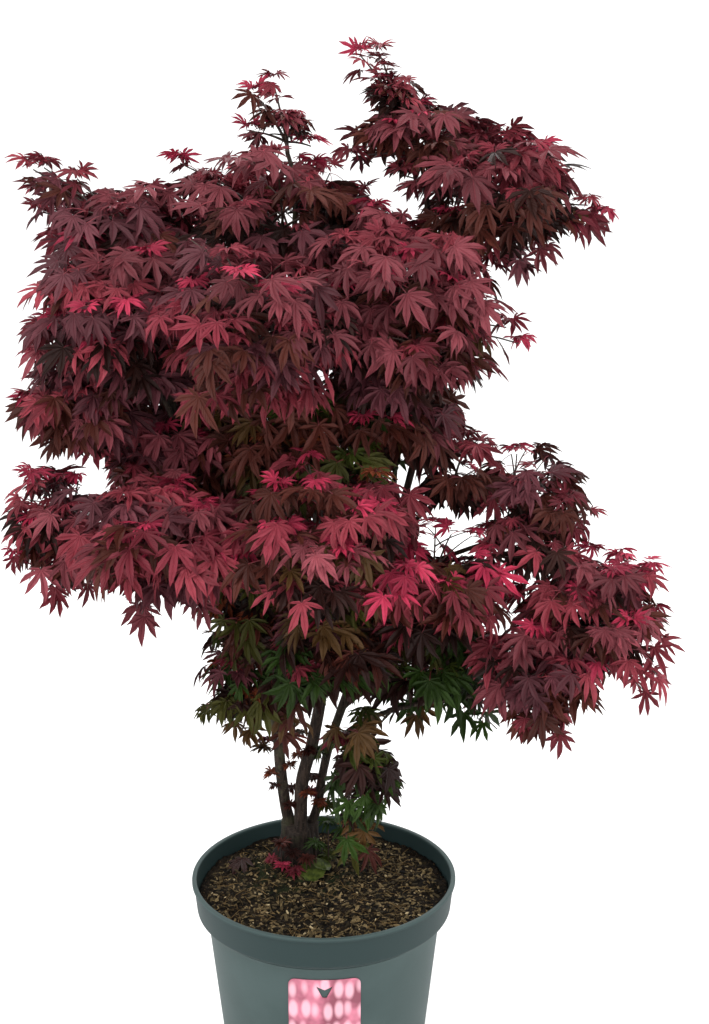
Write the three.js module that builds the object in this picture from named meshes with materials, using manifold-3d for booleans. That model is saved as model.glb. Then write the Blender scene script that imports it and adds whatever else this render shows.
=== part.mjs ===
// A potted Japanese palm-leaf maple: a clump of three stems in a round nursery pot.
// Millimetres, +Z up. The origin is the centre of the pot's flat underside, and the label faces -Y.
import * as THREE from "three";
import { mergeVertices } from "three/addons/utils/BufferGeometryUtils.js";
import Module from "manifold-3d";

const wasm = await Module();
wasm.setup();

const UP = new THREE.Vector3(0, 0, 1);
const GOLDEN_ANGLE = Math.PI * (3 - Math.sqrt(5));
const vector = (list) => new THREE.Vector3(...list);

// Driving dimensions of the pot, its soil and its label.
const GAP = 0.3;
const POT_HEIGHT = 290;
const RIM_RADIUS = 165;
const COLLAR_HEIGHT = 42;
const COLLAR_DRAFT = 6;
const COLLAR_STEP = 10;
const WALL_TOP_RADIUS = 147;
const FOOT_RADIUS = 120;
const FOOT_ROUND = 5;
const WALL = 3;
const FLOOR = 4;
const LIP = 5;
const LIP_STEP = 2;
const POT_SEGMENTS = 40;
const WELD = 1e-3;
const SOIL_LEVEL = 272;
const LABEL_WIDTH = 86;
const LABEL_HEIGHT = 120;
const LABEL_TOP = 226;
const LABEL_CORNER = 9;
const LABEL_THICKNESS = 1;
const HOOK_WIDTH = 20;
const HOOK_DEPTH = 16;
const HOOK_SLOT = 5;
const LABEL_SEGMENTS = 80;
const CORNER_SEGMENTS = 3;

// Driving dimensions of the plant.
const FOOT = new THREE.Vector3(-32, 68, SOIL_LEVEL + GAP);
const FORK = new THREE.Vector3(-31, 60, 328);
const FLARE_RADIUS = 34;
const FORK_RADIUS = 21;
const FLARE_LOBES = 5;
const FLARE_RELIEF = 0.12;
const FOOT_SIDES = 15;
const FOOT_STEPS = 4;
const BURIED = 4;
const STEM_SIDES = 7;
const STEM_STEPS = 11;
const BOUGH_SIDES = 5;
const BOUGH_STEPS = 4;
const BOUGH_TIP = 2.6;
const BOUGH_REACH = 0.72;
const BOUGH_BEND = 0.36;
const LEAVE_LEVEL = 0.7;
const ARRIVE_LEVEL = 0.35;
const TWIG_SIDES = 3;
const TWIG_RADIUS = 3;
const TWIG_TIP = 2.2;

// The leaf: lobes as [angle in degrees, length], in parts of the middle lobe's length.
const LOBES = [[-84, 0.62], [-42, 0.9], [0, 1], [42, 0.9], [84, 0.62]];
const SINUS = 0.6;
const LEAF_HEEL = 0.07;
const LONGEST_STALK = 1.1;
const SHORTEST_STALK = 0.105;
const STALK_BEND = 0.45;
const STALK_SUNK = 0.3;
const LEAF_THICKNESS = 0.045;
const LEAF_DROOP = 0.16;
const LEAF_SHORTEST = 52;
const LEAF_LONGEST = 124;
const LEAF_PER_RADIUS = 1.2;

// How leaves are set: droop in radians at a mass's middle and its change to the top, where the
// blades' middles lie and how far their tips may reach, in parts of the mass's half sizes.
const LEVEL_DROOP = 0.95;
const DROOP_CHANGE = 0.6;
const BLADE_DEPTH = 0.86;
const BLADE_BACK = 0.35;
const SLACK = 1.4;
const TIP_SLACK = 2.5;
const TIP_LEAF = 0.7;
const TIP_DROOP = [0.15, 0.7];
const TIP_STALK = 0.25;
const TIP_FORK = 0.7;

// How far a leaf that finds no room is moved before it is given up: turns in radians, the rest in
// parts of its own values.
const LEAF_TRIES = 240;
const LOOSE_TURN = 3;
const LOOSE_AZIMUTH = 3.2;
const LOOSE_DROOP = 1;
const LOOSE_DEPTH = 0.6;
const LOOSE_LENGTH = 0.45;

// The twigs that carry the leaves inside a mass.
const AXIS_REACH = 0.95;
const TWIGS = 3;
const TWIG_FORK = 0.8;
const TWIG_RISE = 0.3;
const TWIG_REACH = 0.5;
const CARRIER_STEPS = 8;
const SEARCH_STEP = 0.02;
const HEIGHT_STEP = 0.005;
const SMOOTHING = 0.6;
const LAST_SMOOTHING = 0.09;

// The three stems: radius at the fork and at the tip, then the way from the fork to the tip.
const STEMS = {
  left_stem: [7.4, 3.4, [[-39, 66, 316], [-47, 62, 345], [-54, 46, 412], [-58, 36, 470],
    [-84, 25, 600], [-128, 10, 740], [-170, 0, 880], [-205, -5, 1040]]],
  middle_stem: [8.4, 3.6, [[-28, 54, 316], [-29, 52, 343], [-26, 46, 398], [-13, 38, 452],
    [2, 30, 560], [-2, 20, 700], [-12, 10, 850], [-28, -5, 1060]]],
  right_stem: [5.8, 3.2, [[-20, 67, 316], [-9, 67, 345], [-1, 58, 398], [9, 52, 445],
    [38, 40, 540], [72, 30, 660], [106, 22, 800], [165, 0, 1055]]],
};

// The foliage masses: centre, half sizes, leaves, tint, and the stem and height that they spring from.
// A row with no bough radius sits on its stem, or on the stem's tip where it has no height either.
// Tips are single sprays that stand out of the mass.
const MASSES = {
  leader_shoot: { centre: [87, 10, 1227], half: [42, 48, 29], leaves: 6, tint: "plum",
    stem: "right_stem", height: 985, bough: 3.4, tips: [[64, 10, 1284], [138, 0, 1216]] },
  upper_crest: { centre: [118, 5, 1180], half: [78, 80, 50], leaves: 9, tint: "plum",
    stem: "right_stem", height: 1010, bough: 3.2 },
  upper_right: { centre: [203, -10, 1124], half: [103, 115, 79], leaves: 14, tint: "plum",
    stem: "right_stem", tips: [[318, -5, 1104]] },
  centre_shoot: { centre: [-46, 20, 1192], half: [40, 48, 26], leaves: 5, tint: "plum",
    stem: "middle_stem", height: 990, bough: 3, tips: [[-65, 20, 1248], [-2, 10, 1191]] },
  upper_centre: { centre: [-58, -20, 1106], half: [118, 120, 72], leaves: 14, tint: "plum",
    stem: "middle_stem", tips: [[-156, 0, 1162]] },
  upper_left: { centre: [-214, -10, 1089], half: [94, 100, 66], leaves: 12, tint: "plum",
    stem: "left_stem", tips: [[-334, -10, 1164], [-270, -10, 1160]] },
  mid_left: { centre: [-221, -70, 990], half: [110, 118, 102], leaves: 14, tint: "rose",
    stem: "left_stem", height: 800, bough: 4, tips: [[-322, -70, 986]] },
  mid_centre: { centre: [-66, -165, 988], half: [112, 105, 98], leaves: 13, tint: "rose",
    stem: "middle_stem", height: 780, bough: 4.2 },
  mid_right: { centre: [82, -80, 1005], half: [118, 122, 108], leaves: 14, tint: "rose",
    stem: "right_stem", height: 830, bough: 3.8, tips: [[222, -60, 972]] },
  left_lap: { centre: [-269, -40, 897], half: [86, 92, 55], leaves: 10, tint: "rose",
    stem: "left_stem", height: 700, bough: 4, tips: [[-338, -40, 902]] },
  lap_link: { centre: [-177, -10, 813], half: [91, 92, 65], leaves: 9, tint: "rose",
    stem: "left_stem", height: 815 },
  right_shoulder: { centre: [111, 0, 868], half: [70, 92, 69], leaves: 9, tint: "plum",
    stem: "right_stem", height: 835 },
  shoulder_link: { centre: [157, 0, 797], half: [59, 66, 53], leaves: 6, tint: "plum",
    stem: "right_stem", height: 690, bough: 3.2 },
  core: { centre: [-10, -20, 842], half: [140, 120, 90], leaves: 11, tint: "bronze",
    stem: "middle_stem", height: 820 },
  right_arm_upper: { centre: [242, 0, 749], half: [88, 82, 81], leaves: 11, tint: "plum",
    stem: "right_stem", height: 630, bough: 4, tips: [[229, 0, 828]] },
  right_arm: { centre: [315, -30, 626], half: [100, 100, 91], leaves: 12, tint: "rose",
    stem: "right_stem", height: 535, bough: 4.4, tips: [[410, -20, 641], [413, -30, 553]] },
  right_arm_low: { centre: [254, -60, 571], half: [83, 80, 68], leaves: 10, tint: "rose",
    stem: "right_stem", height: 430, bough: 3.6, tips: [[287, -65, 494]] },
  elbow: { centre: [132, -60, 683], half: [93, 86, 80], leaves: 10, tint: "rose",
    stem: "right_stem", height: 575, bough: 3.4 },
  left_arm: { centre: [-299, -20, 739], half: [72, 84, 75], leaves: 11, tint: "rose",
    stem: "left_stem", height: 560, bough: 4.2, tips: [[-362, -20, 712], [-313, -20, 660]] },
  lower_left: { centre: [-173, -120, 754], half: [106, 100, 71], leaves: 11, tint: "rose",
    stem: "left_stem", height: 620, bough: 3.8 },
  lower_centre: { centre: [4, -165, 766], half: [128, 100, 88], leaves: 14, tint: "rose",
    stem: "middle_stem", height: 585, bough: 4.4 },
  under_right: { centre: [130, 30, 562], half: [94, 88, 74], leaves: 11, tint: "green",
    stem: "right_stem", height: 485, bough: 3.2, tips: [[216, 20, 473]] },
  under_left: { centre: [-98, 0, 622], half: [78, 78, 68], leaves: 8, tint: "bronze",
    stem: "left_stem", height: 590 },
  under_left_low: { centre: [-83, -10, 551], half: [66, 72, 58], leaves: 8, tint: "bronze",
    stem: "left_stem", height: 500, tips: [[-149, -10, 512]] },
  under_centre: { centre: [3, -50, 604], half: [90, 82, 76], leaves: 10, tint: "bronze",
    stem: "middle_stem", height: 480, bough: 3.2 },
  foot_shoot: { centre: [41, -20, 438], half: [46, 48, 82], leaves: 8, tint: "green",
    stem: "right_stem", height: 362, bough: 2.8, tips: [[97, -20, 420]] },
  back_left: { centre: [-185, 165, 880], half: [145, 115, 135], leaves: 14, tint: "plum",
    stem: "left_stem", height: 650, bough: 4.2 },
  back_top: { centre: [-30, 150, 1050], half: [150, 115, 110], leaves: 13, tint: "plum",
    stem: "middle_stem", height: 860, bough: 4 },
  back_right: { centre: [102, 165, 909], half: [106, 110, 132], leaves: 13, tint: "plum",
    stem: "right_stem", height: 700, bough: 4 },
  back_low: { centre: [-60, 170, 660], half: [150, 110, 120], leaves: 13, tint: "bronze",
    stem: "middle_stem", height: 510, bough: 4 },
};

// Finishes.
const finish = (color, roughness) => new THREE.MeshStandardMaterial({ color, roughness, metalness: 0 });
const POT_PLASTIC = finish(0x58696b, 0.5);
const SOIL_BARK = finish(0x4b382c, 0.95);
const STEM_BARK = finish(0x3f332d, 0.85);
const LABEL_CARD = finish(0xb4707f, 0.4);
const TINTS = {
  plum: finish(0x5c2a32, 0.6),
  rose: finish(0x86383f, 0.6),
  bronze: finish(0x46301f, 0.65),
  green: finish(0x2b4020, 0.6),
};

// A seeded run of numbers from 0 to 1.
function seededRandom(seed) {
  let state = seed;
  return () => {
    state = (state * 1664525 + 1013904223) % 4294967296;
    return state / 4294967296;
  };
}

// A closed geometry as a solid that can be joined and cut.
function solidOf(geometry) {
  const bare = geometry.clone().deleteAttribute("normal").deleteAttribute("uv");
  const merged = mergeVertices(bare, WELD);
  const mesh = new wasm.Mesh({
    numProp: 3,
    vertProperties: merged.attributes.position.array,
    triVerts: new Uint32Array(merged.index.array),
  });
  return new wasm.Manifold(mesh);
}

// The largest piece of a solid as a geometry, which leaves loose scraps out.
function geometryOf(solid) {
  const pieces = solid.decompose();
  const largest = pieces.reduce((best, piece) => (piece.volume() > best.volume() ? piece : best));
  const mesh = largest.getMesh();
  const geometry = new THREE.BufferGeometry();
  geometry.setAttribute("position", new THREE.BufferAttribute(mesh.vertProperties, 3));
  geometry.setIndex(new THREE.BufferAttribute(mesh.triVerts, 1));
  geometry.computeVertexNormals();
  return geometry;
}

// A limb: a polygon of unit radius extruded to unit depth, with each ring moved onto the curve.
// The radius is a function of the way along and of the angle round the limb.
function limbGeometry(curve, sides, steps, radiusAt) {
  const corners = Array.from({ length: sides }, (_, side) => {
    const angle = (2 * Math.PI * side) / sides;
    return new THREE.Vector2(Math.cos(angle), Math.sin(angle));
  });
  const geometry = new THREE.ExtrudeGeometry(new THREE.Shape(corners), {
    depth: 1, steps, bevelEnabled: false,
  });
  const frames = curve.computeFrenetFrames(steps, false);
  const position = geometry.attributes.position;
  for (let i = 0; i < position.count; i++) {
    const step = Math.round(position.getZ(i) * steps);
    const [across, along] = [position.getX(i), position.getY(i)];
    const radius = radiusAt(step / steps, Math.atan2(along, across));
    const point = curve.getPointAt(step / steps);
    point.addScaledVector(frames.normals[step], radius * across);
    point.addScaledVector(frames.binormals[step], radius * along);
    position.setXYZ(i, point.x, point.y, point.z);
  }
  return geometry;
}

// A limb that tapers from one radius to another, fattened all over by grow.
function taperingLimb(curve, sides, steps, from, to, grow = 0) {
  return solidOf(limbGeometry(curve, sides, steps, (t) => from + (to - from) * t + grow));
}

// The pot: an open shell, with a drafted collar that steps in to a wall tapering to the foot.
function wallRadius(z) {
  return FOOT_RADIUS + ((WALL_TOP_RADIUS - FOOT_RADIUS) * z) / (POT_HEIGHT - COLLAR_HEIGHT);
}

function potGeometry() {
  const collarFoot = POT_HEIGHT - COLLAR_HEIGHT;
  const profile = [
    [0, 0],
    [FOOT_RADIUS - FOOT_ROUND, 0],
    [wallRadius(FOOT_ROUND), FOOT_ROUND],
    [wallRadius(collarFoot - COLLAR_STEP), collarFoot - COLLAR_STEP],
    [RIM_RADIUS - COLLAR_DRAFT - WALL, collarFoot],
    [RIM_RADIUS - COLLAR_DRAFT, collarFoot + WALL],
    [RIM_RADIUS - LIP_STEP, POT_HEIGHT - LIP],
    [RIM_RADIUS, POT_HEIGHT - LIP + LIP_STEP / 2],
    [RIM_RADIUS, POT_HEIGHT],
    [RIM_RADIUS - 2 * WALL, POT_HEIGHT],
    [RIM_RADIUS - COLLAR_DRAFT - 2 * WALL, collarFoot + WALL],
    [wallRadius(collarFoot) - WALL, collarFoot - WALL],
    [wallRadius(FLOOR) - WALL, FLOOR],
    [0, FLOOR],
  ];
  return new THREE.LatheGeometry(profile.map(([r, z]) => new THREE.Vector2(r, z)), POT_SEGMENTS);
}

function soilGeometry() {
  const collarFoot = POT_HEIGHT - COLLAR_HEIGHT;
  const shy = WALL + 2 * GAP;
  const rise = (SOIL_LEVEL - collarFoot) / COLLAR_HEIGHT;
  const profile = [
    [0, FLOOR + GAP],
    [wallRadius(FLOOR) - shy, FLOOR + GAP],
    [wallRadius(collarFoot) - shy, collarFoot - WALL],
    [RIM_RADIUS - COLLAR_DRAFT - 2 * WALL - 3 * GAP + rise, SOIL_LEVEL],
    [0, SOIL_LEVEL],
  ];
  return new THREE.LatheGeometry(profile.map(([r, z]) => new THREE.Vector2(r, z)), POT_SEGMENTS);
}

// A lathe turns about Y, and the part stands along Z.
function upright(geometry) {
  return geometry.rotateX(Math.PI / 2);
}

// The label: a ring that lies on the wall, cut to a rounded card with a hook slot near its top.
function labelGeometry() {
  const [left, right] = [-LABEL_WIDTH / 2, LABEL_WIDTH / 2];
  const [bottom, top] = [LABEL_TOP - LABEL_HEIGHT, LABEL_TOP];
  const ring = [
    [wallRadius(bottom) + GAP, bottom],
    [wallRadius(bottom) + GAP + LABEL_THICKNESS, bottom],
    [wallRadius(top) + GAP + LABEL_THICKNESS, top],
    [wallRadius(top) + GAP, top],
    [wallRadius(bottom) + GAP, bottom],
  ].map(([r, z]) => new THREE.Vector2(r, z));
  const card = new THREE.Shape();
  card.moveTo(left + LABEL_CORNER, bottom);
  card.lineTo(right - LABEL_CORNER, bottom);
  card.absarc(right - LABEL_CORNER, bottom + LABEL_CORNER, LABEL_CORNER, -Math.PI / 2, 0);
  card.absarc(right - LABEL_CORNER, top - LABEL_CORNER, LABEL_CORNER, 0, Math.PI / 2);
  card.absarc(left + LABEL_CORNER, top - LABEL_CORNER, LABEL_CORNER, Math.PI / 2, Math.PI);
  card.absarc(left + LABEL_CORNER, bottom + LABEL_CORNER, LABEL_CORNER, Math.PI, 1.5 * Math.PI);
  const hook = new THREE.Path();
  const hookTop = top - LABEL_CORNER;
  hook.moveTo(-HOOK_WIDTH / 2, hookTop);
  hook.lineTo(-HOOK_SLOT / 2, hookTop - HOOK_DEPTH);
  hook.lineTo(HOOK_SLOT / 2, hookTop - HOOK_DEPTH);
  hook.lineTo(HOOK_WIDTH / 2, hookTop);
  hook.lineTo(0, hookTop - HOOK_SLOT);
  card.holes.push(hook);
  const block = new THREE.ExtrudeGeometry(card, {
    depth: RIM_RADIUS, bevelEnabled: false, curveSegments: CORNER_SEGMENTS,
  });
  block.rotateX(Math.PI / 2);
  const sleeve = upright(new THREE.LatheGeometry(ring, LABEL_SEGMENTS));
  return geometryOf(solidOf(sleeve).intersect(solidOf(block)));
}

// The foot of the clump: a lobed flare that narrows to the fork, cut flat at the soil.
function trunkFoot(grow) {
  const buried = FOOT.clone().addScaledVector(UP, -BURIED);
  const curve = new THREE.LineCurve3(buried, FORK);
  const flare = limbGeometry(curve, FOOT_SIDES, FOOT_STEPS, (t, angle) => {
    const spread = (1 - t) ** 2;
    const lobes = 1 + FLARE_RELIEF * spread * Math.cos(FLARE_LOBES * angle);
    return (FORK_RADIUS + (FLARE_RADIUS - FORK_RADIUS) * spread) * lobes + grow;
  });
  const above = new THREE.BoxGeometry(RIM_RADIUS, RIM_RADIUS, RIM_RADIUS);
  above.translate(FOOT.x, FOOT.y, FOOT.z + RIM_RADIUS / 2);
  return solidOf(flare).intersect(solidOf(above));
}

// The blade on a plane: u along the middle lobe, v across, w up out of it, as points round it
// from one side of the stalk to the other.
function bladeOutline() {
  const points = [[-LEAF_HEEL, -LEAF_HEEL / 2, 0]];
  const radial = (degrees, length) => {
    const angle = THREE.MathUtils.degToRad(degrees);
    points.push([length * Math.cos(angle), length * Math.sin(angle), -LEAF_DROOP * length * length]);
  };
  LOBES.forEach(([degrees, length], i) => {
    radial(degrees, length);
    if (i < LOBES.length - 1) radial((degrees + LOBES[i + 1][0]) / 2, SINUS);
  });
  points.push([-LEAF_HEEL, LEAF_HEEL / 2, 0]);
  return points;
}
const OUTLINE = bladeOutline();
const MIDDLE_TIP = Math.floor(OUTLINE.length / 2);

// The way that the middle lobe points, turned round the vertical and dropped below the level.
function lobeDirection(azimuth, droop) {
  const level = Math.cos(droop);
  return new THREE.Vector3(level * Math.cos(azimuth), level * Math.sin(azimuth), -Math.sin(droop));
}

// The points of a blade whose stalk starts at base.
function bladePoints(base, azimuth, droop, size) {
  const along = lobeDirection(azimuth, droop);
  const across = new THREE.Vector3(-Math.sin(azimuth), Math.cos(azimuth), 0);
  const out = new THREE.Vector3().crossVectors(along, across);
  const place = ([u, v, w]) => base.clone().addScaledVector(along, size * u)
    .addScaledVector(across, size * v).addScaledVector(out, size * w);
  const half = LEAF_THICKNESS / 2;
  return { along, ring: OUTLINE.map(place), top: place([0, 0, half]), bottom: place([0, 0, -half]) };
}

// A leaf: a two-sided pyramid whose middle ring is drawn out to the blade and to the stalk's end.
function leafSolid({ ring, top, bottom }, stalkEnd) {
  const round = [...ring, stalkEnd];
  const geometry = new THREE.SphereGeometry(1, round.length, 2);
  const rows = [() => top, (i) => round[i % round.length], () => bottom];
  const columns = round.length + 1;
  const position = geometry.attributes.position;
  for (let i = 0; i < position.count; i++) {
    const point = rows[Math.floor(i / columns)](i % columns);
    position.setXYZ(i, point.x, point.y, point.z);
  }
  return solidOf(geometry);
}

// The space of a mass: an ellipsoid, cut back by a plane between it and each of its neighbours.
class Space {
  constructor(name) {
    this.centre = vector(MASSES[name].centre);
    this.half = vector(MASSES[name].half);
    this.planes = Object.keys(MASSES).filter((other) => other !== name)
      .map((other) => this.planeTo(MASSES[other]));
  }

  static reach(half, direction) {
    return half.clone().multiply(direction).length();
  }

  planeTo(other) {
    const normal = vector(other.centre).sub(this.centre);
    const distance = normal.length();
    normal.normalize();
    const mine = Space.reach(this.half, normal);
    const theirs = Space.reach(vector(other.half), normal);
    return { normal, limit: (distance * mine) / (mine + theirs) - GAP };
  }

  clearOfNeighbours(point) {
    const from = point.clone().sub(this.centre);
    return this.planes.every(({ normal, limit }) => normal.dot(from) < limit);
  }

  within(point, slack) {
    return point.clone().sub(this.centre).divide(this.half).length() < slack;
  }

  // The furthest point from the centre towards a place that is still inside.
  edgeTowards(place, share) {
    const way = place.clone().sub(this.centre);
    let t = 1;
    const inside = (point) => this.within(point, 1) && this.clearOfNeighbours(point);
    while (t > SEARCH_STEP && !inside(this.centre.clone().addScaledVector(way, t))) t -= SEARCH_STEP;
    return this.centre.clone().addScaledVector(way, t * share);
  }
}

// Stems first, then the boughs, each cut clear of the stem that it springs from.
const stemCurves = {};
const limbs = {};
const fatLimbs = [];
const foot = trunkFoot(0);
const fatFoot = trunkFoot(GAP);
limbs.trunk_foot = foot;
fatLimbs.push(fatFoot);
for (const [name, [thick, thin, way]] of Object.entries(STEMS)) {
  const curve = new THREE.CatmullRomCurve3(way.map(vector), false, "centripetal");
  stemCurves[name] = curve;
  const stem = taperingLimb(curve, STEM_SIDES, STEM_STEPS, thick, thin);
  limbs[name] = stem.subtract(fatFoot);
  fatLimbs.push(taperingLimb(curve, STEM_SIDES, STEM_STEPS, thick, thin, GAP));
}

// The point on a stem's axis where it passes a height.
function atHeight(curve, height) {
  let t = 0;
  while (t < 1 && curve.getPointAt(t).z < height) t += HEIGHT_STEP;
  return curve.getPointAt(Math.min(t, 1));
}

// A bough leaves its stem rising, then bends over towards the heart of its mass.
function boughCurve(start, end) {
  const way = end.clone().sub(start);
  const length = way.length();
  const level = new THREE.Vector3(way.x, way.y, 0).normalize();
  const leave = level.clone().multiplyScalar(LEAVE_LEVEL).add(UP).normalize();
  const arrive = way.clone().normalize().lerp(level, ARRIVE_LEVEL).normalize();
  return new THREE.CubicBezierCurve3(
    start,
    start.clone().addScaledVector(leave, BOUGH_BEND * length),
    end.clone().addScaledVector(arrive, -BOUGH_BEND * length),
    end,
  );
}

const masses = {};
for (const [name, row] of Object.entries(MASSES)) {
  const space = new Space(name);
  const curve = stemCurves[row.stem];
  let root = row.height ? atHeight(curve, row.height) : curve.getPointAt(1);
  if (row.bough) {
    const end = space.edgeTowards(root, BOUGH_REACH);
    const path = boughCurve(root, end);
    const bough = taperingLimb(path, BOUGH_SIDES, BOUGH_STEPS, row.bough, BOUGH_TIP);
    const host = fatLimbs[1 + Object.keys(STEMS).indexOf(row.stem)];
    limbs[`bough_${name}`] = bough.subtract(host);
    fatLimbs.push(taperingLimb(path, BOUGH_SIDES, BOUGH_STEPS, row.bough, BOUGH_TIP, GAP));
    root = end;
  }
  masses[name] = { ...row, space, root };
}
const allLimbs = wasm.Manifold.union(fatLimbs);

// A mass: a stem to its heart, twigs out of that, and leaves at spots spread evenly round it, each
// on a stalk that ends in the nearest twig. A leaf keeps clear of the others and of the limbs.
function growMass({ space, root, leaves: wanted, tips = [] }, seed) {
  const random = seededRandom(seed);
  const mean = (space.half.x + space.half.y + space.half.z) / 3;
  const size = THREE.MathUtils.clamp(LEAF_PER_RADIUS * mean, LEAF_SHORTEST, LEAF_LONGEST);
  const carriers = [];
  const leaves = [];
  const addCarrier = (from, to, thick, thin) => {
    const curve = new THREE.LineCurve3(from, to);
    const solid = taperingLimb(curve, TWIG_SIDES, 1, thick, thin);
    carriers.push({ solid, points: curve.getPoints(CARRIER_STEPS).slice(1) });
    return curve;
  };
  const axis = addCarrier(root, root.clone().lerp(space.centre, AXIS_REACH), BOUGH_TIP, TWIG_RADIUS);

  // The nearest place on a twig that the stalk can run back to without a sharp bend.
  const stalkFor = (base, along) => {
    let best = { distance: Infinity };
    for (const carrier of carriers) {
      for (const point of carrier.points) {
        const back = base.clone().sub(point);
        const distance = back.length();
        if (distance < best.distance && back.dot(along) > STALK_BEND * distance) {
          best = { distance, carrier, end: point.clone().addScaledVector(back, -STALK_SUNK / distance) };
        }
      }
    }
    return best;
  };

  const addLeaf = (base, azimuth, droop, length, slack) => {
    const blade = bladePoints(base, azimuth, droop, length);
    const fits = [...blade.ring, base].every((p) => space.clearOfNeighbours(p) && space.within(p, slack));
    if (!fits) return false;
    const stalk = stalkFor(base, blade.along);
    if (stalk.distance > LONGEST_STALK * length || stalk.distance < SHORTEST_STALK * length) return false;
    const leaf = leafSolid(blade, stalk.end);
    const others = carriers.filter((other) => other !== stalk.carrier).map((other) => other.solid);
    if (![allLimbs, ...others, ...leaves].every((solid) => leaf.intersect(solid).isEmpty())) return false;
    leaves.push(leaf);
    return true;
  };

  for (const tip of tips) {
    const target = vector(tip);
    const away = target.clone().sub(space.centre);
    const azimuth = Math.atan2(away.y, away.x);
    const droop = away.z > 0 ? TIP_DROOP[0] : TIP_DROOP[1];
    const length = size * TIP_LEAF;
    const origin = bladePoints(new THREE.Vector3(), azimuth, droop, length);
    const base = target.clone().sub(origin.ring[MIDDLE_TIP]);
    const twigEnd = base.clone().addScaledVector(origin.along, -TIP_STALK * length);
    addCarrier(axis.getPoint(TIP_FORK), twigEnd, TWIG_RADIUS, TWIG_TIP);
    addLeaf(base, azimuth, droop, length, TIP_SLACK);
  }
  for (let k = 0; k < TWIGS; k++) {
    const angle = k * GOLDEN_ANGLE + seed;
    const way = new THREE.Vector3(Math.cos(angle), Math.sin(angle), TWIG_RISE);
    const end = space.centre.clone().add(way.multiply(space.half).multiplyScalar(TWIG_REACH));
    if (space.clearOfNeighbours(end)) addCarrier(axis.getPoint(TWIG_FORK), end, TWIG_RADIUS, TWIG_TIP);
  }
  for (let k = 0; k < wanted; k++) {
    for (let attempt = 0; attempt < LEAF_TRIES; attempt++) {
      const rise = 1 - (2 * k + 1) / wanted;
      const loosen = attempt / LEAF_TRIES;
      const angle = k * GOLDEN_ANGLE + seed + loosen * (random() - 0.5) * LOOSE_TURN;
      const level = Math.sqrt(1 - rise * rise);
      const spot = new THREE.Vector3(level * Math.cos(angle), level * Math.sin(angle), rise);
      const depth = BLADE_DEPTH * (1 - LOOSE_DEPTH * loosen * random());
      const azimuth = angle + loosen * (random() - 0.5) * LOOSE_AZIMUTH;
      const droop = LEVEL_DROOP - DROOP_CHANGE * rise + loosen * (random() - 0.5) * LOOSE_DROOP;
      const length = size * (1 - LOOSE_LENGTH * loosen);
      const base = spot.multiply(space.half).multiplyScalar(depth).add(space.centre)
        .addScaledVector(lobeDirection(azimuth, droop), -BLADE_BACK * length);
      if (addLeaf(base, azimuth, droop, length, SLACK)) break;
    }
  }
  const pieces = [...carriers.map((carrier) => carrier.solid), ...leaves];
  return wasm.Manifold.union(pieces).simplify(SMOOTHING).subtract(allLimbs).simplify(LAST_SMOOTHING);
}

// The whole plant and its pot.
const plant = new THREE.Group();
function addPart(name, geometry, material) {
  const mesh = new THREE.Mesh(geometry, material);
  mesh.name = name;
  plant.add(mesh);
}

addPart("pot", upright(potGeometry()), POT_PLASTIC);
addPart("soil", upright(soilGeometry()), SOIL_BARK);
addPart("label", labelGeometry(), LABEL_CARD);
for (const [name, limb] of Object.entries(limbs)) addPart(name, geometryOf(limb), STEM_BARK);
Object.entries(masses).forEach(([name, mass], index) => {
  addPart(`foliage_${name}`, geometryOf(growMass(mass, index + 1)), TINTS[mass.tint]);
});

export default plant;
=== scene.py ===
"""A potted palm-leaf maple: a clump of three stems in a round nursery pot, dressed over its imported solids.

Metres, +Z up. The origin is the centre of the pot's flat underside, and the label faces -Y.
"""
import math

import bpy
import numpy as np
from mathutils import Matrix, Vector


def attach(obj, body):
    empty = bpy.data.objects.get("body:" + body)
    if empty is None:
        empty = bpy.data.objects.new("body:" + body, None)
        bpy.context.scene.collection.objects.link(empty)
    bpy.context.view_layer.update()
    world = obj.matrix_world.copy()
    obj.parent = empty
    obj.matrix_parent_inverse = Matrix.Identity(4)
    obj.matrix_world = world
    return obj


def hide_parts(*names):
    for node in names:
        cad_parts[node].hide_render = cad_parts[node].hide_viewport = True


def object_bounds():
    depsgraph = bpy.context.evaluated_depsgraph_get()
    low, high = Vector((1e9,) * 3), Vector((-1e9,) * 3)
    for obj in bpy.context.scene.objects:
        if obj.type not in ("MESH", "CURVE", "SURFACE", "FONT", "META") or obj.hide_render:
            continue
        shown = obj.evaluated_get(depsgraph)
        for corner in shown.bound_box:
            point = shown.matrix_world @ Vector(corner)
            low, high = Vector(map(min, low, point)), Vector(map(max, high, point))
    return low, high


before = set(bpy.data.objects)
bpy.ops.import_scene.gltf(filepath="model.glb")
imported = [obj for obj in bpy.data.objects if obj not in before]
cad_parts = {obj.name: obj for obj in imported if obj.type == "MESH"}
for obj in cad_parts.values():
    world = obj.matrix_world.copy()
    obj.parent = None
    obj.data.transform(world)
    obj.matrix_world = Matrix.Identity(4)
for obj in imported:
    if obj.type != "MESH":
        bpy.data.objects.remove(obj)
cad_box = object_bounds()

UP = np.array([0.0, 0.0, 1.0])
GOLDEN_ANGLE = math.pi * (3 - math.sqrt(5))

# ---------------------------------------------------------------- driving dimensions

# The camera, with its tilt down and its turn towards +X in degrees.
CAMERA_PLACE = np.array([0.0, -1.849477, 1.252061])
CAMERA_TILT = 14.9385
CAMERA_TURN = 1.1910
CAMERA_LENS = 56.953
SENSOR_WIDTH = 36.0

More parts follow.
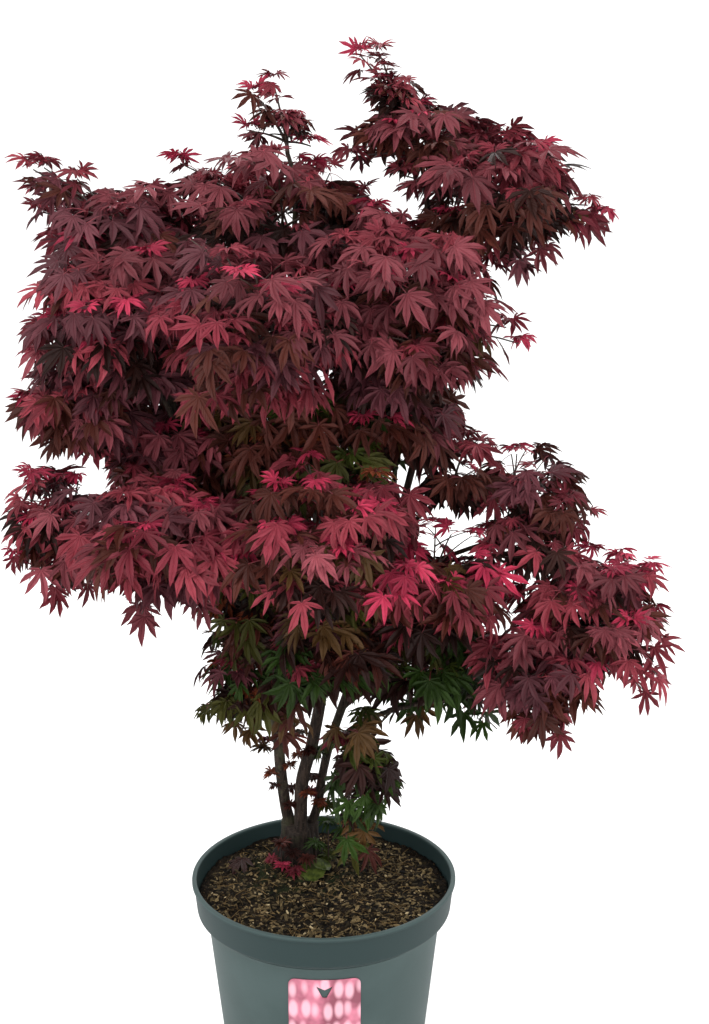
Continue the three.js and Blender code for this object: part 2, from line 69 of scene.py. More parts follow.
# The studio: the sky's strength, half the floor's width, what the lamps face, and each lamp's place,
# width and power.
SKY_STRENGTH = 1.36
FLOOR_HALF = 30.0
LIT_PLACE = np.array([0.0, 0.0, 0.8])
LIGHTS = {
    "key_light": ((-1.3, -1.7, 3.1), 2.2, 55.0),
    "fill_light": ((2.4, -1.6, 1.8), 1.8, 18.0),
    "back_light": ((0.6, 2.6, 2.6), 1.6, 30.0),
}

# The pot, and how far out its soil bears chips and fibres.
POT_HEIGHT = 0.290
RIM_RADIUS = 0.165
COLLAR_HEIGHT = 0.042
COLLAR_DRAFT = 0.006
COLLAR_STEP = 0.010
WALL_TOP_RADIUS = 0.147
FOOT_RADIUS = 0.120
WALL = 0.003
FLOOR = 0.004
LIP = 0.005
POT_SEGMENTS = 192
COLLAR_FOOT = POT_HEIGHT - COLLAR_HEIGHT
COLLAR_RADIUS = RIM_RADIUS - COLLAR_DRAFT
SOIL_LEVEL = 0.272
CHIP_EDGE = RIM_RADIUS - 0.020
FIBRE_EDGE = RIM_RADIUS - 0.028

# The soil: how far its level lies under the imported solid's, and its mound, heaps and crumbs.
SOIL_DIP = 0.003
MOUND_HEIGHT = 0.010
MOUND_REACH = 0.045
HEAP_HEIGHT = 0.0022
CRUMB_HEIGHT = 0.0013

# Bark on the soil: seed, count, range of lengths, range of thickness as a share of the length, and the
# wood's name and two tones.
CHIPS = {
    "soil_chips": (7, 3400, (0.003, 0.010), (0.08, 0.22), "brown_chips", "0c0a07", "84714f"),
    "soil_flecks": (9, 420, (0.002, 0.007), (0.15, 0.35), "tan_chips", "6e5a3e", "c8b48c"),
}
FIBRES = 420
FIBRE_RADIUS = 0.00032

# The foot of the clump.
FOOT = np.array([-0.032, 0.068, SOIL_LEVEL])
FORK = np.array([-0.031, 0.060, 0.328])
FLARE_RADIUS = 0.034
FORK_RADIUS = 0.021
FLARE_LOBES = 5
FLARE_RELIEF = 0.24
FORK_RELIEF = 0.20

# The three stems, in millimetres: radius at the fork and at the tip, then places on the way up.
LEFT, MIDDLE, RIGHT = "left_stem", "middle_stem", "right_stem"


def limb(thick, thin, *way):
    """A row of STEMS, from millimetres to metres."""
    return thick / 1000, thin / 1000, np.array(way) / 1000


STEMS = {
    LEFT: limb(7.4, 3.4, (-39, 66, 316), (-47, 62, 345), (-54, 46, 412), (-58, 36, 470), (-84, 25, 600),
        (-128, 10, 740), (-170, 0, 880), (-205, -5, 1040)),
    MIDDLE: limb(8.4, 3.6, (-28, 54, 316), (-29, 52, 343), (-26, 46, 398), (-13, 38, 452), (2, 30, 560),
        (-2, 20, 700), (-12, 10, 850), (-28, -5, 1060)),
    RIGHT: limb(5.8, 3.2, (-20, 67, 316), (-9, 67, 345), (-1, 58, 398), (9, 52, 445), (38, 40, 540),
        (72, 30, 660), (106, 22, 800), (165, 0, 1055)),
}
STEM_SIDES = 28
STEM_STEPS = 220
BOUGH_TIP = 0.0026
BOUGH_REACH = 0.72
BOUGH_SIDES = 12
BOUGH_STEPS = 28

LEVEL_DROOP = 0.72


def mass(centre, half, mix, leaf, stem, height=None, bough=None, tips=(), droop=LEVEL_DROOP, dense=1.0):
    """A row of MASSES. Centre, half sizes, the height on the stem, the radius of the bough and the tips
    come in millimetres and go on in metres. With no bough the mass sits on its stem, and with no height
    on the stem's tip. Tips are single shoots that stand out of the mass. leaf and dense are factors, and
    droop is how far its leaves hang, in radians."""
    return {
        "centre": np.array(centre) / 1000, "half": np.array(half) / 1000, "mix": mix, "leaf": leaf,
        "stem": stem, "height": height and height / 1000, "bough": bough and bough / 1000,
        "tips": np.array(tips).reshape(-1, 3) / 1000, "droop": droop, "dense": dense}


# The masses of foliage: centre, half sizes, mix of tints, leaf scale, stem, height and bough.
MASSES = {
    "leader_shoot": mass((85, 10, 1227), (36, 48, 29), "dusky", 0.80, RIGHT, 985, 3.4, droop=0.3,
        tips=[(66, 10, 1281), (45, 10, 1278), (52, 0, 1194), (120, 0, 1206)]),
    "upper_crest": mass((118, 5, 1180), (78, 80, 50), "dusky", 0.90, RIGHT, 1010, 3.2, droop=0.6,
        dense=0.75, tips=[(36, 0, 1168)]),
    "upper_right": mass((203, -10, 1124), (103, 115, 79), "dusky", 0.95, RIGHT, droop=0.65, dense=0.72,
        tips=[(318, -5, 1104), (284, -10, 1146), (256, -20, 1066), (200, -10, 1048), (234, -10, 1044),
        (218, -10, 1184), (246, -10, 1175), (300, -10, 1116), (300, -10, 1090), (90, -10, 1150)]),
    "centre_shoot": mass((-38, 20, 1190), (34, 48, 26), "dusky", 0.80, MIDDLE, 990, 3, droop=0.3,
        tips=[(-52, 20, 1250), (-72, 20, 1236), (-10, 10, 1180), (-76, 20, 1196)]),
    "upper_centre": mass((-58, -20, 1101), (118, 120, 72), "dusky", 0.95, MIDDLE, droop=0.65, dense=0.7,
        tips=[(-156, 0, 1162), (55, -20, 1128)]),
    "upper_left": mass((-214, -10, 1082), (90, 100, 57), "dusky", 0.95, LEFT, droop=0.75, dense=0.75,
        tips=[(-306, -10, 1158), (-270, -10, 1146), (-312, -10, 1130), (-318, -10, 1156),
        (-314, -10, 1110)]),
    "mid_left": mass((-219, -70, 990), (102, 118, 102), "rosy", 1.00, LEFT, 800, 4,
        tips=[(-308, -70, 990), (-312, -70, 958)]),
    "mid_centre": mass((-66, -165, 988), (112, 105, 98), "rosy", 0.95, MIDDLE, 780, 4.2),
    "mid_right": mass((82, -80, 1005), (111, 122, 108), "dusky", 1.00, RIGHT, 830, 3.8,
        tips=[(220, -60, 968), (176, -60, 1004), (196, -60, 946), (206, -60, 986)]),
    "left_lap": mass((-269, -40, 893), (81, 92, 58), "rosy", 0.95, LEFT, 700, 4, tips=[(-334, -40, 902),
        (-322, -40, 852), (-296, -40, 854), (-264, -40, 850)]),
    "lap_link": mass((-177, -10, 813), (91, 92, 65), "rosy", 0.90, LEFT, 815),
    "right_shoulder": mass((102, 0, 868), (58, 92, 69), "dusky", 0.95, RIGHT, 835),
    "shoulder_link": mass((157, 0, 797), (59, 66, 53), "dusky", 0.80, RIGHT, 690, 3.2),
    "core": mass((-10, -20, 842), (140, 120, 90), "bronzed", 0.95, MIDDLE, 820),
    "right_arm_upper": mass((242, 0, 749), (88, 82, 81), "dusky", 0.85, RIGHT, 630, 4,
        tips=[(229, 0, 828), (275, 0, 798), (316, 0, 753), (240, -10, 702), (264, -10, 706)]),
    "right_arm": mass((315, -30, 626), (100, 100, 91), "rosy", 0.95, RIGHT, 535, 4.4,
        tips=[(388, -20, 691), (394, -20, 637), (409, -30, 557), (388, -30, 540), (318, -20, 712),
        (352, -20, 704)]),
    "right_arm_low": mass((254, -60, 571), (83, 80, 68), "rosy", 0.95, RIGHT, 430, 3.6,
        tips=[(287, -65, 494)]),
    "elbow": mass((132, -60, 683), (93, 86, 80), "bright", 0.95, RIGHT, 575, 3.4, tips=[(216, -40, 664),
        (212, -40, 640)]),
    "left_arm": mass((-299, -20, 739), (72, 84, 75), "rosy", 0.90, LEFT, 560, 4.2, tips=[(-362, -20, 712),
        (-333, -20, 806), (-313, -20, 660), (-272, -20, 676)]),
    "lower_left": mass((-173, -120, 754), (106, 100, 71), "rosy", 1.05, LEFT, 620, 3.8,
        tips=[(-205, -120, 668), (-166, -110, 700), (-136, -110, 688)]),
    "lower_centre": mass((4, -165, 766), (128, 100, 88), "bright", 0.90, MIDDLE, 585, 4.4),
    "under_right": mass((130, 30, 562), (94, 88, 74), "leafy", 1.00, RIGHT, 485, 3.2,
        tips=[(216, 20, 473), (101, 20, 500)]),
    "under_left": mass((-91, 0, 620), (64, 78, 66), "bronzed", 0.90, LEFT, 590),
    "under_left_low": mass((-83, -10, 551), (66, 72, 58), "bronzed", 0.90, LEFT, 500,
        tips=[(-149, -10, 512), (-101, -10, 480)]),
    "under_centre": mass((3, -50, 604), (90, 82, 76), "bronzed", 1.00, MIDDLE, 480, 3.2,
        tips=[(-52, -40, 512), (-56, -40, 484)]),
    "foot_shoot": mass((41, -20, 438), (46, 48, 82), "shaded", 1.05, RIGHT, 362, 2.8, droop=0.95,
        tips=[(74, -20, 420), (72, -15, 448), (26, -15, 345), (52, -15, 352)]),
    "back_left": mass((-185, 165, 880), (145, 115, 135), "dusky", 1.00, LEFT, 650, 4.2),
    "back_top": mass((-30, 150, 1050), (150, 115, 110), "dusky", 1.00, MIDDLE, 860, 4, dense=0.6),
    "back_right": mass((102, 165, 909), (106, 110, 132), "dusky", 1.00, RIGHT, 700, 4, dense=0.8),
    "back_low": mass((-60, 170, 660), (150, 110, 120), "bronzed", 1.00, MIDDLE, 510, 4),
}

# Where the sky shows through the crown from the front: a place in each gap and its radius there, in
# millimetres.
GAPS = np.array([
    (93, -20, 809, 5.6), (103, -20, 800, 4.8), (158, -20, 817, 4), (168, -20, 748, 5), (162, -20, 729, 9),
    (345, -30, 548, 8), (181, -20, 752, 4), (200, -20, 761, 3.2), (-265, -20, 811, 4.8),
    (-266, -20, 792, 4.8), (-319, -20, 832, 4), (165, -20, 723, 9.5), (-3, -20, 1178, 5.4),
    (-31, -20, 1173, 4.4), (39, -20, 1151, 5.3), (15, -20, 1148, 5), (66, -20, 1160, 4.4),
    (66, -20, 1135, 5.2), (-34, -20, 1101, 4.8), (-53, -20, 1194, 3.5), (285, -20, 1148, 5.3),
    (222, -20, 831, 4.4), (255, -20, 816, 3.8), (311, -20, 755, 3.8), (394, -20, 655, 3.8),
    (-188, -20, 646, 5.3), (-126, -20, 589, 3.5), (204, -20, 971, 4),
]) / 1000

# Tufts of small leaves straight out of the stems: stem, height and twig in millimetres with the heading
# in degrees between them, leaf scale and tint.
TUFTS = [
    (LEFT, 437, 195, 16, 0.42, "bronze"),
    (LEFT, 446, 170, 12, 0.34, "wine"),
    (LEFT, 401, 190, 7, 0.34, "russet"),
    (LEFT, 372, 30, 6, 0.30, "umber"),
    (MIDDLE, 440, -100, 8, 0.34, "umber"),
    (MIDDLE, 356, 200, 7, 0.32, "umber"),
    (LEFT, 412, -20, 6, 0.30, "russet"),
    (LEFT, 385, 215, 6, 0.26, "umber"),
    (LEFT, 490, -40, 8, 0.34, "bronze"),
    (MIDDLE, 374, -60, 9, 0.32, "russet"),
    (MIDDLE, 390, 20, 7, 0.28, "umber"),
    (MIDDLE, 424, 150, 7, 0.30, "russet"),
    (MIDDLE, 458, 190, 10, 0.36, "bronze"),
    (RIGHT, 358, -90, 10, 0.34, "russet"),
    (RIGHT, 374, -10, 10, 0.38, "forest"),
    (RIGHT, 368, 200, 8, 0.30, "wine"),
    (RIGHT, 352, -45, 12, 0.44, "moss"),
    (RIGHT, 392, 175, 7, 0.30, "umber"),
    (RIGHT, 430, 210, 10, 0.40, "forest"),
]

# Single leaves on the soil: place in millimetres, heading and droop in degrees, length and tint. Those
# that droop by more than FALLEN_DROOP hang from a twig.
FALLEN = [
    ((-106, 66, 277), -110, 6, 36, "shadow"),
    ((36, 36, 312), -75, 60, 42, "olive"),
    ((56, 30, 306), -50, 66, 36, "umber"),
]
FALLEN_DROOP = 30

# Stars of small leaves round the foot: place in millimetres, leaf scale and tint.
SPROUTS = [
    ((-52, 30, 286), 0.34, "crimson"),
    ((-36, 22, 284), 0.38, "wine"),
    ((-66, 40, 290), 0.32, "wine"),
    ((6, 52, 288), 0.36, "moss"),
    ((-54, 36, 314), 0.38, "umber"),
    ((-40, 26, 306), 0.36, "shadow"),
    ((-10, 30, 316), 0.42, "forest"),
    ((6, 44, 340), 0.50, "forest"),
    ((-22, 24, 300), 0.34, "umber"),
]
SEEDLING = np.array([-0.012, 0.036, 0.286])
SEEDLING_LEAF = 0.017

# The leaf: seven lobes, in parts of the middle lobe's length, with stations along each lobe.
LOBE_ANGLES = np.radians([-120, -80, -40, 0, 40, 80, 120])
LOBE_LENGTHS = np.array([0.40, 0.70, 0.92, 1.00, 0.92, 0.70, 0.40])
STATIONS = np.array([0.42, 0.64, 0.84])
HALF_WIDTHS = np.array([0.098, 0.108, 0.050])
SINUS = 0.26
HEEL = 0.10
LEAF_SHAPES = 20
LEAF_LENGTH = 0.041

# How sprays and leaves are set. Arches and shares are parts of a twig's length, slacks and the inner
# share are parts of the mass's half sizes, and droops and turns are in radians.
SPRAYS_PER_AREA = 122
AXIS_REACH = 0.95
AXIS_ARCH = 0.08
LEAF_MARGIN = np.array([0.032, 0.032, 0.016])
LEAF_HANG = 0.016
SPRAY_ARCH = 0.14
SIDE_SHARES = np.array([0.40, 0.66])
SIDE_TURNS = np.array([-1.0, 1.0])
SIDE_ANGLE = math.radians(50)
SIDE_LENGTH = 0.60
SIDE_ARCH = 0.10
SPRAY_PAIRS = [0.55, 0.82]
SIDE_PAIRS = [0.60]
SHOOT_PAIRS = [0.40, 0.60, 0.80]
SIDE_SCALE = 0.92
SHOOT_SCALE = 0.80
YOUNG_SCALE = 0.60
SIDE_YOUNG_SCALE = 0.52
DROOP_CHANGE = 0.25
SLACK = 1.25
SHOOT_SLACK = 3.4
YOUNG_RISE = 0.006
YOUNG_STALK = 0.5
YOUNG_LIFT = 0.30
STALK_SAG = 0.08
STALK_ARCH = 0.18
# How deep a leaf sits before it takes the darker inner tint, which is painted shade.
INNER_SHARE = 0.62
FACE_LIGHT = 0.55
LIMB_CLEARANCE = 0.010
PROUD = 0.014
FAN_TURNS = np.array([-1.1, 0.0, 1.1])
STAR_BLADES = 5
TUFT_BLADES = 11
SPROUT_BLADES = 8

# Twigs by kind: radius at the root and at the end, then steps and sides.
TWIG_GAUGES = {
    "axis": (0.0026, 0.0021, 5, 6),
    "spray": (0.0017, 0.0008, 7, 5),
    "side": (0.0010, 0.0006, 5, 4),
}
STALK_RADIUS = 0.0005

# Tints by slot and plain name.
TINT_CODES = {
    "leaf_plum": dict(mulberry="562a31", plum="6a2f36", umber="471f18", shadow="260f0b"),
    "leaf_rose": dict(rose="7e2f39", dusty_rose="7e3b43", crimson="a42d47", wine="702631"),
    "leaf_bronze": dict(bronze="4b341a", olive="3f3e17", russet="7c3c24"),
    "leaf_green": dict(forest="25380e", moss="363e10"),
}
TINTS = {name: (code, slot) for slot, codes in TINT_CODES.items() for name, code in codes.items()}

# The mixes of tints that the masses take, dealt out by spray: its outer leaves, the leaves deep inside,
# whose darker tints are painted shade, and the young leaves at its end.
MIXES = {
    "dusky": dict(outer=dict(mulberry=0.25, plum=0.31, umber=0.16, bronze=0.06, rose=0.15, wine=0.07),
        inner=dict(shadow=0.5, umber=0.5), young=dict(wine=0.35, crimson=0.35, rose=0.3)),
    "rosy": dict(
        outer=dict(
            rose=0.32, dusty_rose=0.08, plum=0.28, wine=0.1, mulberry=0.12, umber=0.08, bronze=0.02),
        inner=dict(umber=0.5, mulberry=0.25, shadow=0.25), young=dict(crimson=0.7, wine=0.2, rose=0.1)),
    "bright": dict(outer=dict(rose=0.28, dusty_rose=0.1, plum=0.16, umber=0.2, crimson=0.08, wine=0.18),
        inner=dict(umber=0.5, bronze=0.25, shadow=0.25), young=dict(crimson=0.9, russet=0.1)),
    "bronzed": dict(
        outer=dict(bronze=0.38, olive=0.34, umber=0.14, mulberry=0.04, forest=0.07, russet=0.03),
        inner=dict(shadow=0.5, umber=0.2, forest=0.3),
        young=dict(russet=0.3, wine=0.2, moss=0.4, crimson=0.1)),
    "shaded": dict(outer=dict(forest=0.52, moss=0.1, olive=0.2, bronze=0.18),
        inner=dict(shadow=0.4, forest=0.6), young=dict(crimson=0.2, wine=0.2, forest=0.3, moss=0.3)),
    "leafy": dict(outer=dict(forest=0.58, olive=0.18, moss=0.08, bronze=0.16),
        inner=dict(shadow=0.5, forest=0.5), young=dict(crimson=0.3, moss=0.4, russet=0.3)),
}


# ---------------------------------------------------------------- arrays

def length(vectors):
    """Lengths of vectors along the last axis, which is kept."""
    return np.linalg.norm(vectors, axis=-1, keepdims=True)


def unit(vectors):
    """Vectors divided by their own lengths."""
    return vectors / np.maximum(length(vectors), 1e-9)


def turns(count):
    """Angles spread evenly round a circle."""
    return np.linspace(0, 2 * math.pi, count, endpoint=False)


def bearing(azimuth, height=0.0):
    """Vectors one unit out on the level, round to azimuth, with a height."""
    return np.stack(np.broadcast_arrays(np.cos(azimuth), np.sin(azimuth), height), axis=-1)


def bezier(t, a, b, c):
    """A quadratic Bezier curve: (1-t)^2 a + 2t(1-t) b + t^2 c."""
    return (1 - t) ** 2 * a + 2 * t * (1 - t) * b + t ** 2 * c


def above_soil(place):
    """The point on the soil that a twig to a place springs from, a little behind it."""
    return place * [1, 1, 0] + [0, 0.004, SOIL_LEVEL]


class Arches:
    """Many arched twigs at once: quadratic Bezier curves whose middle point is lifted over the chord by
    a share of its length."""

    def __init__(self, start, end, lift):
        self.start, self.end = start, end
        self.span = length(end - start)
        self.middle = (start + end) / 2 + lift * self.span * UP

    def knots(self, shares):
        """The shares and the curves' three points, shaped to go together."""
        return np.asarray(shares)[..., None], self.start[:, None], self.middle[:, None], self.end[:, None]

    def at(self, shares):
        """Points at shares of each arch."""
        return bezier(*self.knots(shares))

    def way(self, shares):
        """Unit tangents there: the derivative of the same formula."""
        t, a, b, c = self.knots(shares)
        return unit((1 - t) * (b - a) + t * (c - b))


def catmull_rom(points, count):
    """Points spaced evenly along a centripetal Catmull-Rom curve. Between knots it is the cubic Hermite
    curve whose tangents come from the three chords round each knot, each divided by the square root of
    its length; the end chords are repeated past the ends."""
    p = np.array(points)
    p = np.vstack([2 * p[0] - p[1], p, 2 * p[-1] - p[-2]])
    chord = np.diff(p, axis=0)
    knot = np.sqrt(length(chord))
    before, here, after = knot[:-2], knot[1:-1], knot[2:]
    first = (chord[:-2] / before - (p[2:-1] - p[:-3]) / (before + here) + chord[1:-1] / here) * here
    last = (chord[1:-1] / here - (p[3:] - p[1:-2]) / (here + after) + chord[2:] / after) * here
    t = np.linspace(0, 1, 200, endpoint=False)[:, None, None]
    a, b = p[1:-2], p[2:-1]
    curve = ((2 * t ** 3 - 3 * t ** 2 + 1) * a + (t ** 3 - 2 * t ** 2 + t) * first
             + (3 * t ** 2 - 2 * t ** 3) * b + (t ** 3 - t ** 2) * last)
    curve = np.vstack([curve.transpose(1, 0, 2).reshape(-1, 3), b[-1:]])
    run = np.concatenate([[0], np.cumsum(length(np.diff(curve, axis=0))[:, 0])])
    even = np.linspace(0, run[-1], count)
    return np.stack([np.interp(even, run, curve[:, axis]) for axis in range(3)], axis=1)


def ripple(x, y, seed, octaves=5):
    """Smooth noise from -1 to 1: a sum of sine waves that cross at seeded angles, each octave finer by
    1.8 times and weaker by 0.6."""
    rng = np.random.default_rng(seed)
    total, weight = 0.0, 1.0
    for octave in range(octaves):
        turn, phase, shift = rng.uniform(0, 2 * math.pi, 3)
        scale = 1.8 ** octave
        wave = np.sin(scale * (x * math.cos(turn) + y * math.sin(turn)) + phase)
        cross = np.sin(scale * (y * math.cos(turn) - x * math.sin(turn)) + shift)
        total = total + weight * wave * cross
        weight *= 0.6
    return total


# ---------------------------------------------------------------- meshes

def link(name, data):
    """An object in the scene with this data."""
    item = bpy.data.objects.new(name, data)
    bpy.context.scene.collection.objects.link(item)
    return item


def add_piece(name, points, faces, material, slot, uv=None, shade=None, replaces=()):
    """A smooth mesh from whole arrays. faces is a list of arrays, each with one row a face. uv and shade
    are given for each point."""
    faces = [block for block in faces if len(block)]
    sizes = np.concatenate([np.full(len(block), block.shape[1]) for block in faces])
    corners = np.concatenate([block.ravel() for block in faces]).astype(np.int32)
    mesh = bpy.data.meshes.new(name)
    mesh.vertices.add(len(points))
    mesh.vertices.foreach_set("co", np.asarray(points, dtype=np.float32).ravel())
    mesh.loops.add(len(corners))
    mesh.loops.foreach_set("vertex_index", corners)
    mesh.polygons.add(len(sizes))
    mesh.polygons.foreach_set("loop_start", (np.cumsum(sizes) - sizes).astype(np.int32))
    if uv is not None:
        layer = mesh.uv_layers.new(name="along_across")
        layer.data.foreach_set("uv", np.asarray(uv, dtype=np.float32)[corners].ravel())
    if shade is not None:
        attribute = mesh.attributes.new("shade", "FLOAT", "POINT")
        attribute.data.foreach_set("value", np.asarray(shade, dtype=np.float32))
    mesh.update(calc_edges=True)
    mesh.validate()
    mesh.shade_smooth()
    mesh.materials.append(material)
    piece = link(name, mesh)
    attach(piece, "root")
    if replaces:
        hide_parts(*replaces)
    return piece


def lathe(profile, segments):
    """A profile of (radius, height) turned about Z. Its first and last points lie on the axis, and each
    is one point there."""
    ring = profile[1:-1]
    around = bearing(turns(segments))[None, :, :2]
    rings = np.concatenate([
        ring[:, None, :1] * around,
        np.broadcast_to(ring[:, None, 1:], (len(ring), segments, 1))], axis=2)
    poles = np.array([[0, 0, profile[0, 1]], [0, 0, profile[-1, 1]]])
    points = np.vstack([rings.reshape(-1, 3), poles])
    bottom = fan_faces(segments, 0, len(points) - 2)[:, [1, 0, 2]]
    top = fan_faces(segments, (len(ring) - 1) * segments, len(points) - 1)
    return points, [grid_faces(len(ring), segments), bottom, top]


def fan_faces(columns, first, hub):
    """Triangles from a closed ring of points, counted on from the first, to one hub point."""
    here = np.arange(columns)
    return np.stack([first + here, first + (here + 1) % columns, np.full(columns, hub)], axis=1)


def grid_faces(rows, columns):
    """Quads between the rows of a grid whose columns close round."""
    row = np.arange(rows - 1)[:, None] * columns
    here = np.arange(columns)[None]
    there = (here + 1) % columns
    quads = np.stack([row + here, row + there, row + columns + there, row + columns + here], axis=-1)
    return quads.reshape(-1, 4)


def sweep(paths, radii, sides):
    """Round limbs along many paths at once. paths is (limbs, steps, 3) and radii (limbs, steps, sides)
    or less. Each ring is square to its path; its first spoke lies nearest to the world axis that the
    limb's chord is furthest from. The ends are flat polygons."""
    limbs, steps, _ = paths.shape
    radii = np.broadcast_to(radii, (limbs, steps, sides))
    tangent = unit(np.gradient(paths, axis=1))
    chord = np.abs(paths[:, -1] - paths[:, 0])
    reference = np.eye(3)[np.argmin(chord, axis=1)][:, None]
    spoke = unit(reference - np.sum(reference * tangent, axis=-1, keepdims=True) * tangent)
    other = np.cross(tangent, spoke)
    angle = turns(sides)[:, None]
    spokes = np.cos(angle) * spoke[:, :, None] + np.sin(angle) * other[:, :, None]
    rings = paths[:, :, None] + radii[..., None] * spokes
    base = (np.arange(limbs) * steps * sides)[:, None, None]
    quads = (grid_faces(steps, sides)[None] + base).reshape(-1, 4)
    around = np.arange(sides)[None]
    start = around[:, ::-1] + base[:, 0]
    end = around + (steps - 1) * sides + base[:, 0]
    return rings.reshape(-1, 3), [quads, start, end]


def together(parts):
    """Several (points, faces) as one: the faces of each are counted on from the points before it."""
    counts = np.cumsum([0] + [len(points) for points, _ in parts])
    points = np.vstack([points for points, _ in parts])
    faces = [block + start for (_, blocks), start in zip(parts, counts) for block in blocks]
    return points, faces


# ---------------------------------------------------------------- shaders

class Signal:
    """One output socket, written in sums. Each operator adds the Math node that works it out."""

    def __init__(self, bench, socket):
        self.bench, self.socket = bench, socket

    def math(self, operation, *values):
        return self.bench.node("ShaderNodeMath", {"operation": operation}, dict(enumerate(values)))

    def __add__(self, other):
        return self.math("ADD", self, other)

    def __mul__(self, other):
        return self.math("MULTIPLY", self, other)

    def __sub__(self, other):
        return self.math("SUBTRACT", self, other)

    def __rsub__(self, other):
        return self.math("SUBTRACT", other, self)

    def __pow__(self, other):
        return self.math("POWER", self, other)

    __radd__ = __add__
    __rmul__ = __mul__

    def sine(self):
        return self.math("SINE", self)

    def between(self, low, high):
        """0 below low and 1 above high, with a smooth step between."""
        return self.bench.node("ShaderNodeMapRange", {"interpolation_type": "SMOOTHSTEP"},
                               {"Value": self, "From Min": low, "From Max": high})


class Bench:
    """A material's nodes. node() adds any of them: its type, its settings, then its inputs."""

    def __init__(self, name):
        self.material = bpy.data.materials.new(name)
        self.material.use_nodes = True
        self.tree = self.material.node_tree
        self.tree.nodes.clear()
        self.place = self.node("ShaderNodeTexCoord", output="Object")

    def node(self, kind, settings=None, inputs=None, output=0):
        node = self.tree.nodes.new(kind)
        for key, value in (settings or {}).items():
            setattr(node, key, value)
        for key, value in (inputs or {}).items():
            if isinstance(value, Signal):
                self.tree.links.new(value.socket, node.inputs[key])
            else:
                node.inputs[key].default_value = value
        return Signal(self, node.outputs[output]) if node.outputs else None

    def split(self, vector):
        """The X, Y and Z of a vector."""
        node = self.node("ShaderNodeSeparateXYZ", inputs={"Vector": vector}).socket.node
        return [Signal(self, output) for output in node.outputs]

    def dealt(self):
        """The shade that add_piece was given for each point."""
        return self.node("ShaderNodeAttribute", {"attribute_name": "shade"}, output="Fac")

    def stretched(self, scale):
        """The object's place, scaled along its axes."""
        return self.node("ShaderNodeMapping", inputs={"Vector": self.place, "Scale": scale})

    def noise(self, scale, detail=3.0, rough=0.55, stretch=(1, 1, 1)):
        """Noise from 0 to 1 over the object's place, stretched along the axes."""
        return self.node("ShaderNodeTexNoise", inputs={
            "Vector": self.stretched(stretch), "Scale": scale, "Detail": detail, "Roughness": rough})

    def mix(self, share, *tones):
        """The first tone, going over to the second as share goes to 1. Either may be a colour's code."""
        first, second = (colour(tone) if isinstance(tone, str) else tone for tone in tones)
        return self.node("ShaderNodeMix", {"data_type": "RGBA"}, {0: share, 6: first, 7: second}, output=2)

    def surface(self, colour, roughness, relief=None, depth=0.001, **fixed):
        """Principled surface. relief is a height from 0 to 1 and depth its full size in metres; fixed
        are constants for the shader's own sockets."""
        inputs = {"Base Color": colour, "Roughness": roughness}
        if relief is not None:
            inputs["Normal"] = self.node("ShaderNodeBump", inputs={"Height": relief, "Distance": depth})
        inputs.update({key.replace("_", " "): value for key, value in fixed.items()})
        shader = self.node("ShaderNodeBsdfPrincipled", inputs=inputs)
        self.node("ShaderNodeOutputMaterial", inputs={"Surface": shader})
        return self.material


def colour(code):
    """A colour written as six hexadecimal digits, as linear light with alpha."""
    parts = [int(code[start:start + 2], 16) / 255 for start in (0, 2, 4)]
    linear = [p / 12.92 if p <= 0.04045 else ((p + 0.055) / 1.055) ** 2.4 for p in parts]
    return (*linear, 1.0)


def scaled(tone, factor):
    """A colour made lighter or darker."""
    return (*[min(1.0, part * factor) for part in tone[:3]], 1.0)


def pot_plastic():
    """Slate plastic: soft cloudiness, painted shade on the collar and inside, dust low down, fine moulding
    grain.
    """
    bench = Bench("slate_plastic")
    cloud = bench.noise(9.0, 4.0, 0.6)
    tone = bench.mix(cloud.between(0.35, 0.7), "374645", "3f4e4d")
    across, back, high = bench.split(bench.place)
    out = (across * across + back * back) ** 0.5
    below_lip = 1 - high.between(POT_HEIGHT - LIP, POT_HEIGHT)
    # Painted shade: the collar is drawn darker than the wall below it.
    collar = high.between(COLLAR_FOOT - COLLAR_STEP, COLLAR_FOOT) * below_lip
    tone = bench.mix(collar * 0.9, tone, "1d2e2e")
    # Painted shade: the inside wall above the soil is drawn dark teal.
    inside_edge = COLLAR_RADIUS - WALL - 0.0005
    inside = 1 - out.between(inside_edge, inside_edge + 0.002)
    inside = inside * high.between(SOIL_LEVEL - 0.014, SOIL_LEVEL - 0.010)
    tone = bench.mix(inside, tone, "1c3236")
    dust = bench.noise(60.0, 5.0, 0.7).between(0.55, 0.75) * (1 - high.between(0.0, 0.12))
    tone = bench.mix(dust * 0.35, tone, "5d574c")
    grain = bench.noise(900.0, 2.0)
    return bench.surface(tone, 0.52 + cloud * 0.14, grain, 0.00012, Specular_IOR_Level=0.22)


def soil_crumb():
    """Bark compost: dark crumbs flecked with brown and ochre, with a mossy stain round the stems."""
    bench = Bench("soil_crumb")
    clod = bench.noise(70.0, 6.0, 0.7)
    fleck = bench.noise(420.0, 3.0, 0.6)
    tone = bench.mix(clod.between(0.35, 0.65), "080705", "1f1811")
    tone = bench.mix(fleck.between(0.58, 0.70) * 0.8, tone, "5b4832")
    foot = bench.node("ShaderNodeVectorMath", {"operation": "DISTANCE"}, {
        0: bench.place, 1: (FOOT[0], FOOT[1] - 0.03, FOOT[2])}, output="Value")
    moss = (1 - foot.between(0.03, 0.10)) * bench.noise(45.0, 4.0).between(0.40, 0.60)
    tone = bench.mix(moss * 0.75, tone, "222a17")
    return bench.surface(tone, 0.95, fleck * 0.5 + clod, 0.004, Specular_IOR_Level=0.1)


def chip_wood(name, dark, light):
    """Bark chips: each one darker or lighter as dealt, with a fibrous grain."""
    bench = Bench(name)
    grain = bench.noise(500.0, 3.0, 0.6, (1.0, 3.0, 1.0))
    tone = bench.mix(bench.dealt(), dark, light)
    tone = bench.mix(grain.between(0.45, 0.65) * 0.5, tone, scaled(colour(dark), 0.6))
    return bench.surface(tone, 0.88, grain, 0.0008, Specular_IOR_Level=0.12)


